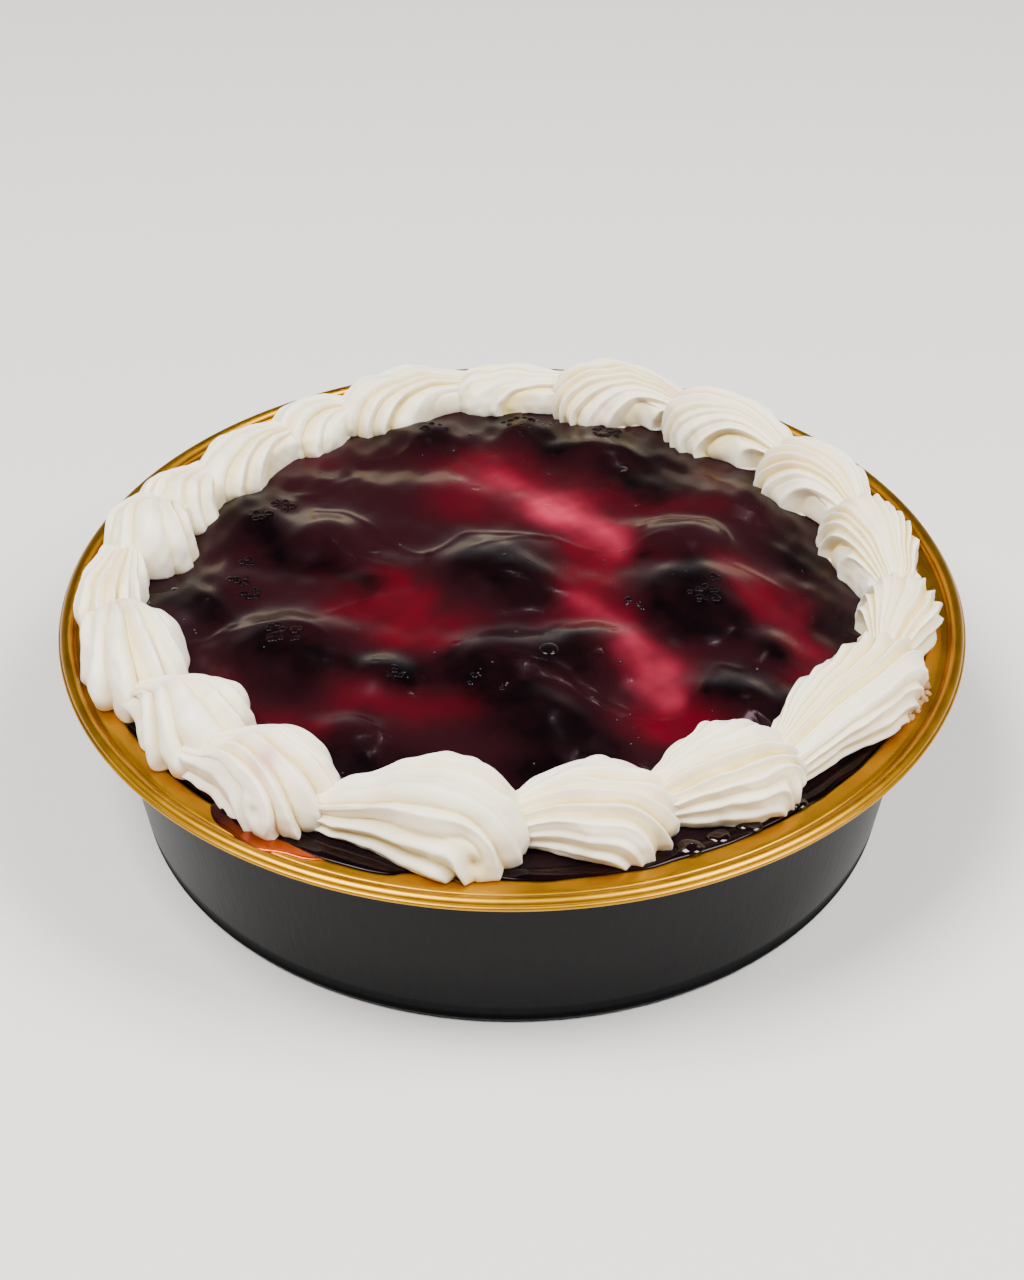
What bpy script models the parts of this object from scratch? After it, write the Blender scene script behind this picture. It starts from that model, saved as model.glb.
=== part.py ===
"""Blueberry pie in its own foil tin, with a border of piped cream shells.

Metres, +Z up. The origin is the centre of the tin's base. Angles are in degrees, counted
anticlockwise from +X as seen from above; the front of the pie is at 270 degrees.
"""

import math
from typing import NamedTuple

import bmesh
import bpy
import numpy as np

MM = 0.001
GAP = 0.3 * MM

# Tin: smooth-walled foil with a flat flange and a rolled bead
RIM_RADIUS = 95.0 * MM
BASE_RADIUS = 80.5 * MM
MOUTH_RADIUS = 87.0 * MM
FLANGE_TOP = 43.9 * MM
FOIL = 0.5 * MM
BEAD_RADIUS = 1.6 * MM
BEAD_POINTS = 11
BASE_FILLET = 1.5 * MM
TIN_STEPS = 72

# Filling: fills the tin to the flange and swells into berry mounds inside the cream border
EDGE_LEVEL = FLANGE_TOP - 0.1 * MM
DOME_RISE = 2.0 * MM
GRID_CELLS = 40
SIDE_CLEARANCE = 0.4 * MM
MOUND_FADE = 9.0 * MM

# Cream shells: every shell stands on one level, just above the flange and the filling
SHELL_LEVEL = FLANGE_TOP + GAP
SHELL_REACH = 91.4 * MM
HEAD_CREST = 0.68
TAIL_ROUNDING = 0.1
RIDGES = 6
RINGS = 12
UNDERSIDE_POINTS = 3
BASE_TUCK = 0.92


class Mound(NamedTuple):
    """A swelling of the glazed berries: centre, radius and rise, in millimetres."""

    x: float
    y: float
    radius: float
    rise: float


class Shell(NamedTuple):
    """One piped shell. It runs clockwise from its round head to its low tail.

    head and tail are angles; the rest are millimetres. The radii are those of the shell's
    centre line, and width is half of what it measures across at the base.
    """

    head: float
    tail: float
    head_radius: float
    head_width: float
    head_height: float
    tail_radius: float
    tail_width: float
    tail_height: float
    ridge: float


MOUNDS = (
    Mound(-3.6, 7.5, 13.0, 4.2),
    Mound(39.0, -0.5, 14.0, 4.0),
    Mound(-45.0, -19.0, 14.0, 3.8),
    Mound(-26.0, -28.5, 7.0, 2.6),
    Mound(-2.4, -25.5, 12.0, 3.6),
    Mound(16.0, -21.0, 11.0, 3.4),
    Mound(-33.0, -47.0, 8.0, 2.2),
    Mound(-59.0, 29.0, 10.0, 3.0),
    Mound(-68.0, -3.5, 9.0, 3.0),
    Mound(-18.5, 62.0, 9.0, 2.6),
    Mound(1.5, 66.0, 7.0, 2.2),
    Mound(20.0, 57.0, 10.0, 2.8),
    Mound(52.5, -19.0, 7.0, 2.2),
    Mound(44.0, -36.0, 12.0, 3.4),
    Mound(38.5, 19.5, 9.0, 3.2),
    Mound(-41.0, 20.0, 9.0, 2.8),
    Mound(6.0, -43.0, 12.0, 2.6),
    Mound(-12.0, 38.0, 9.0, 2.0),
    Mound(50.0, 36.0, 10.0, 2.2),
)

SHELLS = (
    Shell(208.0, 187.5, 79.4, 11.2, 13.0, 81.5, 5.5, 6.0, 0.15),
    Shell(224.0, 208.0, 76.2, 12.0, 13.3, 80.0, 7.0, 6.5, 0.10),
    Shell(242.5, 224.0, 76.6, 11.6, 13.9, 79.5, 7.0, 6.8, 0.10),
    Shell(270.5, 242.5, 75.8, 12.6, 16.0, 77.6, 6.0, 6.2, 0.09),
    Shell(292.0, 270.5, 74.2, 11.4, 12.6, 73.5, 6.0, 6.0, 0.13),
    Shell(313.0, 292.0, 74.2, 11.6, 13.1, 73.5, 6.5, 6.0, 0.13),
    Shell(344.0, 313.0, 77.5, 10.2, 11.5, 77.0, 7.0, 6.5, 0.14),
    Shell(359.5, 344.0, 80.5, 8.9, 10.5, 79.0, 6.0, 6.5, 0.14),
    Shell(380.0, 359.5, 78.5, 11.0, 11.9, 80.0, 6.0, 6.5, 0.15),
    Shell(399.5, 380.0, 78.5, 10.9, 11.2, 79.2, 6.4, 6.5, 0.13),
    Shell(421.0, 399.5, 78.7, 9.5, 11.8, 79.0, 6.4, 6.5, 0.11),
    Shell(442.0, 421.0, 79.2, 9.5, 11.8, 80.0, 7.0, 7.0, 0.11),
    Shell(458.5, 442.0, 80.4, 7.4, 8.4, 80.7, 6.5, 7.0, 0.05),
    Shell(479.0, 458.5, 79.4, 9.2, 10.0, 81.5, 6.0, 6.2, 0.09),
    Shell(491.0, 479.0, 78.8, 8.6, 8.8, 79.5, 6.4, 6.2, 0.08),
    Shell(510.0, 491.0, 78.3, 8.4, 8.9, 78.9, 6.6, 6.6, 0.07),
    Shell(520.0, 510.0, 79.6, 9.4, 10.0, 79.5, 7.2, 7.0, 0.08),
    Shell(533.0, 520.0, 79.0, 10.6, 12.5, 80.5, 7.8, 7.5, 0.06),
    Shell(547.5, 533.0, 84.5, 6.8, 9.0, 83.0, 6.0, 7.0, 0.12),
)


def clear_scene() -> None:
    for obj in list(bpy.data.objects):
        bpy.data.objects.remove(obj)


def collection(name: str) -> bpy.types.Collection:
    made = bpy.data.collections.new(name)
    bpy.context.scene.collection.children.link(made)
    return made


def material(name: str, colour: tuple, roughness: float, metallic: float = 0.0):
    made = bpy.data.materials.new(name)
    made.use_nodes = True
    shader = made.node_tree.nodes["Principled BSDF"]
    shader.inputs["Base Color"].default_value = (*colour, 1.0)
    shader.inputs["Roughness"].default_value = roughness
    shader.inputs["Metallic"].default_value = metallic
    return made


def mesh_object(name: str, shape: bmesh.types.BMesh, finish, group) -> bpy.types.Object:
    """Makes an object of a bmesh, shaded smooth apart from its sharp edges."""
    mesh = bpy.data.meshes.new(name)
    shape.to_mesh(mesh)
    shape.free()
    mesh.materials.append(finish)
    mesh.shade_smooth()
    mesh.set_sharp_from_angle(angle=math.radians(50))
    made = bpy.data.objects.new(name, mesh)
    group.objects.link(made)
    return made


def arc(centre: tuple, radius: float, start: float, end: float, points: int) -> list:
    """Points of an arc from start to end, in degrees, in the plane of a turned profile."""
    angles = np.radians(np.linspace(start, end, points))
    return [(centre[0] + radius * math.cos(a), centre[1] + radius * math.sin(a)) for a in angles]


def tin_profile() -> list:
    """The tin's half section: up its inside, over flange and bead, down its outer side."""
    flange_under = FLANGE_TOP - FOIL
    bead = (RIM_RADIUS - BEAD_RADIUS, flange_under + 0.5 * FOIL)
    floor_corner = (BASE_RADIUS - FOIL - BASE_FILLET, FOIL + BASE_FILLET)
    outer_corner = (BASE_RADIUS - BASE_FILLET, BASE_FILLET)
    inside = [(0.0, FOIL)] + arc(floor_corner, BASE_FILLET, -90, 0, 3)
    inside += [(MOUTH_RADIUS - FOIL, FLANGE_TOP)]
    over_bead = arc(bead, BEAD_RADIUS, 170, -170, BEAD_POINTS)
    outside = [(MOUTH_RADIUS, flange_under)] + arc(outer_corner, BASE_FILLET, 0, -90, 3)
    return inside + over_bead + outside + [(0.0, 0.0)]


def make_tin(finish, group) -> bpy.types.Object:
    """Turns the tin's profile round the Z axis."""
    profile = tin_profile()
    mesh = bpy.data.meshes.new("tin")
    points = [(r, 0.0, z) for r, z in profile]
    mesh.from_pydata(points, [(i, i + 1) for i in range(len(points) - 1)], [])
    mesh.materials.append(finish)
    tin = bpy.data.objects.new("tin", mesh)
    group.objects.link(tin)
    turn = tin.modifiers.new("turn", "SCREW")
    turn.steps = TIN_STEPS
    turn.render_steps = TIN_STEPS
    turn.use_merge_vertices = True
    turn.merge_threshold = 0.00001
    turn.use_smooth_shade = True
    return tin


def smooth_step(value):
    """0 below 0, 1 above 1, and a smooth S between."""
    t = np.clip(value, 0.0, 1.0)
    return t * t * (3.0 - 2.0 * t)


def closing(along):
    """1 along a shell's body, falling to 0 over its blunt tail end and its round head."""
    tail_end = 1.0 - np.clip(along / TAIL_ROUNDING, 0.0, 1.0)
    head_end = np.clip((along - HEAD_CREST) / (1.0 - HEAD_CREST), 0.0, 1.0)
    return np.sqrt((1.0 - tail_end**2) * (1.0 - head_end**3))


def shell_section(shell: Shell, along):
    """Centre radius, half width and height of a shell at a share of its length from the tail."""
    swell = smooth_step(np.asarray(along) / HEAD_CREST)
    radius = shell.tail_radius + (shell.head_radius - shell.tail_radius) * swell
    width = shell.tail_width + (shell.head_width - shell.tail_width) * swell
    height = shell.tail_height + (shell.head_height - shell.tail_height) * swell
    return radius * MM, width * closing(along) * MM, height * closing(along) * MM


def inner_edge(angle):
    """Radius of the cream border's inner edge at an angle in degrees."""
    edge = np.full(np.shape(angle), MOUTH_RADIUS)
    for shell in SHELLS:
        along = ((shell.head - angle) % 360.0) / (shell.head - shell.tail)
        inside = along <= 1.0
        radius, width, _ = shell_section(shell, np.clip(1.0 - along, 0.02, 0.98))
        edge = np.where(inside, radius - width, edge)
    return edge


def border_clearance(x, y):
    """1 well inside the cream border, falling to 0 where the cream stands."""
    radius = np.hypot(x, y)
    angle = np.degrees(np.arctan2(y, x))
    nearby = [inner_edge(angle + turn) for turn in (-6.0, -3.0, 0.0, 3.0, 6.0)]
    return smooth_step((np.minimum.reduce(nearby) - 2.0 * MM - radius) / MOUND_FADE)


def filling_level(x, y):
    """Height of the filling's top: a low dome and the mounds, flat under the cream."""
    rise = DOME_RISE * (1.0 - (x**2 + y**2) / MOUTH_RADIUS**2)
    for mound in MOUNDS:
        distance = np.hypot(x - mound.x * MM, y - mound.y * MM) / (mound.radius * MM)
        rise = rise + mound.rise * MM * np.exp(-(distance**2))
    return EDGE_LEVEL + rise * border_clearance(x, y)


def square_to_disc(x, y):
    """Bends the square from -1 to 1 into the unit disc, keeping its cells even."""
    return x * np.sqrt(1.0 - 0.5 * y**2), y * np.sqrt(1.0 - 0.5 * x**2)


def make_filling(finish, group) -> bpy.types.Object:
    """A grid bent into a disc and raised by the mounds, then drawn down to the tin's floor."""
    slope = (MOUTH_RADIUS - BASE_RADIUS) / FLANGE_TOP
    top_radius = MOUTH_RADIUS - FOIL - SIDE_CLEARANCE
    floor = FOIL + GAP
    shape = bmesh.new()
    bmesh.ops.create_grid(shape, x_segments=GRID_CELLS, y_segments=GRID_CELLS, size=1.0)
    flat = np.array([vertex.co[:] for vertex in shape.verts])
    x, y = square_to_disc(flat[:, 0], flat[:, 1])
    x, y = x * top_radius, y * top_radius
    for vertex, place in zip(shape.verts, np.stack([x, y, filling_level(x, y)], axis=1)):
        vertex.co = place
    for level in (BASE_FILLET + 2.0 * floor, floor):
        edges = [edge for edge in shape.edges if edge.is_boundary]
        drawn = bmesh.ops.extrude_edge_only(shape, edges=edges)["geom"]
        inset = BASE_FILLET if level == floor else 0.0
        radius = top_radius - slope * (EDGE_LEVEL - level) - inset
        for vertex in (item for item in drawn if isinstance(item, bmesh.types.BMVert)):
            scale = radius / math.hypot(vertex.co.x, vertex.co.y)
            vertex.co = (vertex.co.x * scale, vertex.co.y * scale, level)
    bmesh.ops.holes_fill(shape, edges=[edge for edge in shape.edges if edge.is_boundary])
    bmesh.ops.recalc_face_normals(shape, faces=shape.faces)
    return mesh_object("filling", shape, finish, group)


def star_section(count: int, ridge: float) -> np.ndarray:
    """Unit half star, outer base to inner base over the top, then back under the flat base."""
    turn = np.linspace(0.0, math.pi, 2 * count + 1)
    bulge = 1.0 - ridge * np.cos(np.arange(2 * count + 1) * math.pi)
    over = np.stack([np.cos(turn) * bulge, np.sin(turn) ** 0.8 * bulge], axis=1)
    over[[0, -1]] = [(BASE_TUCK, 0.0), (-BASE_TUCK, 0.0)]
    under = np.linspace(-BASE_TUCK, BASE_TUCK, UNDERSIDE_POINTS + 2)[1:-1]
    return np.vstack([over, np.stack([under, np.zeros(UNDERSIDE_POINTS)], axis=1)])


def make_shell(number: int, shell: Shell, finish, group) -> bpy.types.Object:
    """Reshapes a sphere into a shell: its rings become star sections along the border.

    The sphere's poles become the ends of tail and head, and the rings stand closer there.
    """
    section = star_section(RIDGES, shell.ridge)
    shape = bmesh.new()
    bmesh.ops.create_uvsphere(shape, u_segments=len(section), v_segments=RINGS, radius=1.0)
    slack = math.degrees(0.5 * GAP / (shell.tail_radius * MM))
    for vertex in shape.verts:
        down = max(-1.0, min(1.0, vertex.co.z))
        along = 0.5 * math.acos(down) / math.pi + 0.25 * (1.0 - down)
        angle = math.radians(shell.tail + slack + (shell.head - shell.tail - 2 * slack) * along)
        radius, width, height = shell_section(shell, min(max(along, 0.01), 0.99))
        if abs(down) > 0.9999:
            outward, up = 0.0, 0.5 * height
        else:
            turn = math.atan2(vertex.co.y, vertex.co.x) / (2.0 * math.pi)
            share = section[round(turn * len(section)) % len(section)]
            outward, up = share[0] * width, share[1] * height
        distance = min(radius + outward, SHELL_REACH)
        vertex.co = (distance * math.cos(angle), distance * math.sin(angle), SHELL_LEVEL + up)
    return mesh_object(f"cream_shell_{number:02d}", shape, finish, group)


def main() -> None:
    clear_scene()
    pie = collection("blueberry_pie")
    foil = material("gold lacquered foil", (0.62, 0.33, 0.06), 0.3, 1.0)
    glaze = material("glazed blueberries", (0.018, 0.004, 0.006), 0.12)
    cream = material("whipped cream", (0.85, 0.82, 0.74), 0.5)
    make_tin(foil, pie)
    make_filling(glaze, pie)
    for number, shell in enumerate(SHELLS, start=1):
        make_shell(number, shell, cream, pie)


main()
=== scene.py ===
"""Blueberry pie in its foil tin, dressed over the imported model.

The tin is turned foil, gold inside and charcoal outside. The filling's top is a glossy skin of glaze,
drawn over berries, and the border is nineteen shells of piped cream. Sizes in the classes are
millimetres, and a mesh is turned to metres where it is made. Angles are degrees, anticlockwise from
+X as seen from above, and the front of the pie is at 270.
"""

import logging
import math
from dataclasses import dataclass
from enum import Enum

import bpy
import numpy as np
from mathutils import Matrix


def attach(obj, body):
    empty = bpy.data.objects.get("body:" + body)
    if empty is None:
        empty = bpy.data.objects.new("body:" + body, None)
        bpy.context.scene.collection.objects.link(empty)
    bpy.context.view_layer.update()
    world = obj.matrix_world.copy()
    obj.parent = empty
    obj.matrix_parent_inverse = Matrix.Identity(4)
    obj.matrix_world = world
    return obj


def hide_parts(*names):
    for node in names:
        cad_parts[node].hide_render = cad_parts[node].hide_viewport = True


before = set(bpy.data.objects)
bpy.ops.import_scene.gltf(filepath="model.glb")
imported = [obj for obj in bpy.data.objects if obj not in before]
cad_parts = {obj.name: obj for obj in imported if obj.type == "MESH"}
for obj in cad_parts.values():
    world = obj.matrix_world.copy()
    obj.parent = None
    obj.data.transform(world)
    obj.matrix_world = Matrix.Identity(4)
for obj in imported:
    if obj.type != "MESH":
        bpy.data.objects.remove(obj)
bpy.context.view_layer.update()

Array = np.ndarray
MM = 0.001
BODY = "root"
logging.basicConfig(level=logging.INFO, format="%(message)s")
log = logging.getLogger("pie")


class Slot(Enum):
    """The record's material slots that the pieces take their finish from."""

    FOIL = "lacquered_foil"
    LACQUER = "dark_lacquer"
    GLAZE = "berry_glaze"
    CREAM = "whipped_cream"


def linear(code: str) -> tuple[float, float, float, float]:
    """Turns an sRGB hex colour into linear values with full alpha.

    Args:
        code: Six hex digits, red first.

    Returns:
        Linear red, green, blue and alpha.
    """
    parts = [int(code[i : i + 2], 16) / 255.0 for i in (0, 2, 4)]
    bent = [p / 12.92 if p <= 0.04045 else ((p + 0.055) / 1.055) ** 2.4 for p in parts]
    return (bent[0], bent[1], bent[2], 1.0)


def add_node(
    tree: bpy.types.NodeTree, kind: str, settings: dict | None = None, links: dict | None = None
) -> bpy.types.Node:
    """Adds a node with its settings and its incoming links.

    Args:
        tree: The node tree that takes the node.
        kind: Blender's name of the node type, less the leading ShaderNode.
        settings: Values by socket name or number, or by the node's own property name.
        links: Socket name or number to a pair of source node and its output.

    Returns:
        The new node.
    """
    node = tree.nodes.new("ShaderNode" + kind)
    for name, value in (settings or {}).items():
        if isinstance(name, int) or name in node.inputs:
            node.inputs[name].default_value = value
        else:
            setattr(node, name, value)
    for name, (source, output) in (links or {}).items():
        tree.links.new(source.outputs[output], node.inputs[name])
    return node


def grid_faces(rows: int, columns: int, wrap: bool = False) -> Array:
    """Makes the quads of a grid of points numbered row by row.

    Args:
        rows: Number of rows of points.
        columns: Number of points in a row.
        wrap: Whether the last column joins the first.

    Returns:
        An array of four point numbers a face.
    """
    row = np.arange(rows - 1)[:, None] * columns
    column = np.arange(columns if wrap else columns - 1)[None, :]
    after = (column + 1) % columns
    corners = (row + column, row + columns + column, row + columns + after, row + after)
    return np.stack(np.broadcast_arrays(*corners), axis=-1).reshape(-1, 4)


def grid_rim(rows: int) -> Array:
    """Numbers the outer points of a square grid, once round.

    Args:
        rows: Number of rows and columns of points.

    Returns:
        The point numbers in order.
    """
    numbers = np.arange(rows * rows).reshape(rows, rows)
    sides = (numbers[0, :-1], numbers[:-1, -1], numbers[-1, :0:-1], numbers[:0:-1, 0])
    return np.concatenate(sides)


def band_faces(above: Array, below: Array) -> Array:
    """Makes the quads between two closed rings of points."""
    return np.stack([above, np.roll(above, -1), np.roll(below, -1), below], axis=-1)


def fan_faces(ring: Array, centre: int) -> Array:
    """Makes the triangles from a closed ring of points to its centre point."""
    return np.stack([ring, np.roll(ring, -1), np.full_like(ring, centre)], axis=-1)


def closed_tube(rings: Array) -> tuple[Array, list[Array]]:
    """Closes a tube of rings with a fan of triangles at each end.

    Args:
        rings: Points by ring and by place round the ring.

    Returns:
        All points, the two end centres last, and the face arrays.
    """
    rows, columns = rings.shape[:2]
    points = np.vstack([rings.reshape(-1, 3), rings[0].mean(axis=0), rings[-1].mean(axis=0)])
    ring = np.arange(columns)
    first = fan_faces(ring, rows * columns)
    last = fan_faces(ring[::-1] + (rows - 1) * columns, rows * columns + 1)
    return points, [grid_faces(rows, columns, wrap=True), first, last]


def ball(rings: int, columns: int) -> tuple[Array, list[Array]]:
    """Makes a unit ball: rings at even angles down from the pole, and the two poles.

    Args:
        rings: Number of rings between the poles.
        columns: Number of points in a ring.

    Returns:
        All points, the poles last, and the face arrays.
    """
    down = np.linspace(0.0, math.pi, rings + 2)[1:-1][:, None]
    turn = np.linspace(0.0, 2.0 * math.pi, columns, endpoint=False)[None, :]
    sides = (np.sin(down) * np.cos(turn), np.sin(down) * np.sin(turn), np.cos(down) + 0.0 * turn)
    points, faces = closed_tube(np.stack(sides, axis=-1))
    points[-2:, 2] = (1.0, -1.0)
    return points, faces


def repeated(faces: list[Array], count: int, step: int) -> list[Array]:
    """Repeats face arrays for copies of a form whose points follow each other.

    Args:
        faces: The form's face arrays.
        count: Number of copies.
        step: Number of points in the form.

    Returns:
        The face arrays of all copies.
    """
    shift = (np.arange(count) * step)[:, None, None]
    return [(group[None] + shift).reshape(-1, group.shape[1]) for group in faces]


def facing_out(points: Array, faces: list[Array]) -> list[Array]:
    """Turns all faces over where a closed surface has a negative volume.

    The volume is the sum over triangles of a corner dotted with the cross product of the other two.

    Args:
        points: The surface's points.
        faces: Its face arrays.

    Returns:
        The face arrays, pointing outwards.
    """
    volume = 0.0
    for group in faces:
        for second in range(1, group.shape[1] - 1):
            a, b, c = (points[group[:, i]] for i in (0, second, second + 1))
            volume += float(np.einsum("ij,ij->", a, np.cross(b, c)))
    return faces if volume > 0.0 else [group[:, ::-1] for group in faces]


def waves(
    x: Array, y: Array, z: Array | float, length: float, seed: int, count: int = 9
) -> Array:
    """Smooth unevenness: cosine waves of random direction, phase and length, added up.

    Their sum is divided by the root of their number.

    Args:
        x: Place along X, in millimetres.
        y: Place along Y.
        z: Place along Z.
        length: Typical distance from crest to crest, in millimetres.
        seed: Seed of the random draw.
        count: Number of waves.

    Returns:
        Values that mostly lie between -1 and 1.
    """
    draw = np.random.default_rng(seed)
    total = np.zeros(np.broadcast_shapes(np.shape(x), np.shape(y), np.shape(z)))
    for _ in range(count):
        direction = draw.normal(size=3)
        direction *= 2.0 * math.pi / (length * draw.uniform(0.7, 1.5) * np.linalg.norm(direction))
        total = total + np.cos(
            direction[0] * x + direction[1] * y + direction[2] * z + draw.uniform(0.0, 2.0 * math.pi)
        )
    return total / math.sqrt(count)


def layered_waves(x: Array, y: Array, layers: tuple) -> Array:
    """Adds up waves of several lengths.

    Args:
        x: Place along X, in millimetres.
        y: Place along Y.
        layers: Size, length and seed of each layer.

    Returns:
        The sum of the layers.
    """
    return sum(size * waves(x, y, 0.0, length, seed) for size, length, seed in layers)


def smooth_step(value: Array) -> Array:
    """0 below 0, 1 above 1, and a smooth S between."""
    t = np.clip(value, 0.0, 1.0)
    return t * t * (3.0 - 2.0 * t)


def flowing_line(corners: tuple, steps: int = 12) -> Array:
    """Draws a smooth line through points, as a Catmull-Rom curve.

    Args:
        corners: The points that the line passes through.
        steps: Points from one corner to the next.

    Returns:
        The line's points.
    """
    knots = np.asarray(corners, dtype=float)
    knots = np.vstack([2 * knots[0] - knots[1], knots, 2 * knots[-1] - knots[-2]])
    t = np.linspace(0.0, 1.0, steps, endpoint=False)[:, None]
    spans = []
    for a, b, c, d in zip(knots[:-3], knots[1:-2], knots[2:-1], knots[3:]):
        cubic = (3 * b - a - 3 * c + d) * t**3
        spans.append(0.5 * (2 * b + (c - a) * t + (2 * a - 5 * b + 4 * c - d) * t**2 + cubic))
    return np.vstack([*spans, knots[-2]])


def distance_to_line(x: Array, y: Array, line: Array) -> Array:
    """Finds how far places lie from a line of straight runs.

    Args:
        x: Places along X.
        y: Places along Y.
        line: X and Y of the line's points.

    Returns:
        The distances.
    """
    best = np.full(np.shape(x), np.inf)
    for a, b in zip(line[:-1], line[1:]):
        along = b - a
        t = ((x - a[0]) * along[0] + (y - a[1]) * along[1]) / max(float(along @ along), 1e-9)
        t = np.clip(t, 0.0, 1.0)
        far = np.hypot(x - a[0] - along[0] * t, y - a[1] - along[1] * t)
        best = np.minimum(best, far)
    return best


def make_piece(
    name: str,
    points: Array,
    faces: list[Array],
    finish: bpy.types.Material,
    slot: Slot | None = None,
    replaces: tuple[str, ...] = (),
    fields: dict[str, Array] | None = None,
) -> bpy.types.Object:
    """Makes a closed, smooth mesh piece that rides on the pie.

    Args:
        name: The piece's name.
        points: Its points, in millimetres.
        faces: Its face arrays.
        finish: Its material.
        slot: The record's slot that it takes its finish from; None for the floor.
        replaces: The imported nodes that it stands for.
        fields: Numbers by name, one a point, that the material reads.

    Returns:
        The new object.
    """
    faces = facing_out(points, faces)
    corners = np.concatenate([group.ravel() for group in faces])
    counts = np.concatenate([np.full(len(group), group.shape[1]) for group in faces])
    mesh = bpy.data.meshes.new(name)
    mesh.vertices.add(len(points))
    mesh.vertices.foreach_set("co", (points * MM).astype(np.float32).ravel())
    mesh.loops.add(len(corners))
    mesh.loops.foreach_set("vertex_index", corners.astype(np.int32))
    mesh.polygons.add(len(counts))
    mesh.polygons.foreach_set("loop_start", (np.cumsum(counts) - counts).astype(np.int32))
    mesh.update(calc_edges=True)
    mesh.shade_smooth()
    for field_name, values in (fields or {}).items():
        attribute = mesh.attributes.new(field_name, "FLOAT", "POINT")
        attribute.data.foreach_set("value", values.astype(np.float32).ravel())
    mesh.materials.append(finish)
    piece = bpy.data.objects.new(name, mesh)
    bpy.context.scene.collection.objects.link(piece)
    if slot is None:
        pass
    else:
        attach(piece, BODY)
    if replaces:
        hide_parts(*replaces)
    log.info("%s: %d points, %d faces", name, len(points), len(counts))
    return piece


@dataclass(frozen=True)
class Finish:
    """A surface finish: each kind lays out the nodes that feed one shader."""

    title: str = "finish"

    def shade(self, tree: bpy.types.NodeTree) -> tuple[dict, dict]:
        """Adds the finish's nodes.

        Args:
            tree: The material's node tree.

        Returns:
            The shader's settings and its links.
        """
        raise NotImplementedError

    def material(self) -> bpy.types.Material:
        """Builds the finish's nodes, the shader and the output.

        Returns:
            The material.
        """
        made = bpy.data.materials.new(self.title)
        made.use_nodes = True
        tree = made.node_tree
        tree.nodes.clear()
        shader = add_node(tree, "BsdfPrincipled", *self.shade(tree))
        add_node(tree, "OutputMaterial", links={"Surface": (shader, "BSDF")})
        return made


@dataclass(frozen=True)
class GoldLacquer(Finish):
    """Gold-lacquered aluminium foil, drawn and rolled: satin, with soft clouds and a fine grain.

    The grain is drawn coarser than the real one, so that it shows.
    """

    title: str = "gold lacquered foil, drawn"
    bright: str = "C68F16"
    deep: str = "A0700E"
    roughness: float = 0.34
    mottle_mm: float = 9.0
    grain_mm: float = 0.5

    def shade(self, tree: bpy.types.NodeTree) -> tuple[dict, dict]:
        """Mixes two golds and two roughnesses by slow clouds, with a fine rolled grain as bump.

        Args:
            tree: The material's node tree.

        Returns:
            The shader's settings and its links.
        """
        place = {"Vector": (add_node(tree, "TexCoord"), "Object")}
        clouds = {"Scale": 1.0 / (self.mottle_mm * MM), "Detail": 3.0, "Roughness": 0.55}
        cloud = add_node(tree, "TexNoise", clouds, place)
        golds = {"data_type": "RGBA", 6: linear(self.deep), 7: linear(self.bright)}
        tone = add_node(tree, "Mix", golds, {0: (cloud, "Fac")})
        satins = {"To Min": self.roughness - 0.05, "To Max": self.roughness + 0.09}
        satin = add_node(tree, "MapRange", satins, {"Value": (cloud, "Fac")})
        grain = add_node(tree, "TexNoise", {"Scale": 1.0 / (self.grain_mm * MM), "Detail": 2.0}, place)
        relief = {"Strength": 0.12, "Distance": 0.05 * MM}
        bump = add_node(tree, "Bump", relief, {"Height": (grain, "Fac")})
        links = {"Base Color": (tone, 2), "Roughness": (satin, "Result"), "Normal": (bump, "Normal")}
        return {"Metallic": 1.0}, links


@dataclass(frozen=True)
class CharcoalLacquer(Finish):
    """Charcoal lacquer on the foil's outer side: satin, with fine upright lines from drawing.

    The lines are drawn coarser than the real ones, so that they show.
    """

    title: str = "charcoal lacquered foil, drawn"
    dark: str = "040405"
    light: str = "0C0C0E"
    roughness: float = 0.34
    line_mm: float = 1.1
    stretch: float = 0.02

    def shade(self, tree: bpy.types.NodeTree) -> tuple[dict, dict]:
        """Stretches noise upright for the drawn lines, in colour and in bump.

        Args:
            tree: The material's node tree.

        Returns:
            The shader's settings and its links.
        """
        place = {"Vector": (add_node(tree, "TexCoord"), "Object")}
        upright = add_node(tree, "Mapping", {"Scale": (1.0, 1.0, self.stretch)}, place)
        drawn = {"Scale": 1.0 / (self.line_mm * MM), "Detail": 2.0, "Roughness": 0.6}
        lines = add_node(tree, "TexNoise", drawn, {"Vector": (upright, "Vector")})
        greys = {"data_type": "RGBA", 6: linear(self.dark), 7: linear(self.light)}
        tone = add_node(tree, "Mix", greys, {0: (lines, "Fac")})
        relief = {"Strength": 0.35, "Distance": 0.12 * MM}
        bump = add_node(tree, "Bump", relief, {"Height": (lines, "Fac")})
        settings = {"Roughness": self.roughness, "Specular IOR Level": 0.08}
        return settings, {"Base Color": (tone, 2), "Normal": (bump, "Normal")}


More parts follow.
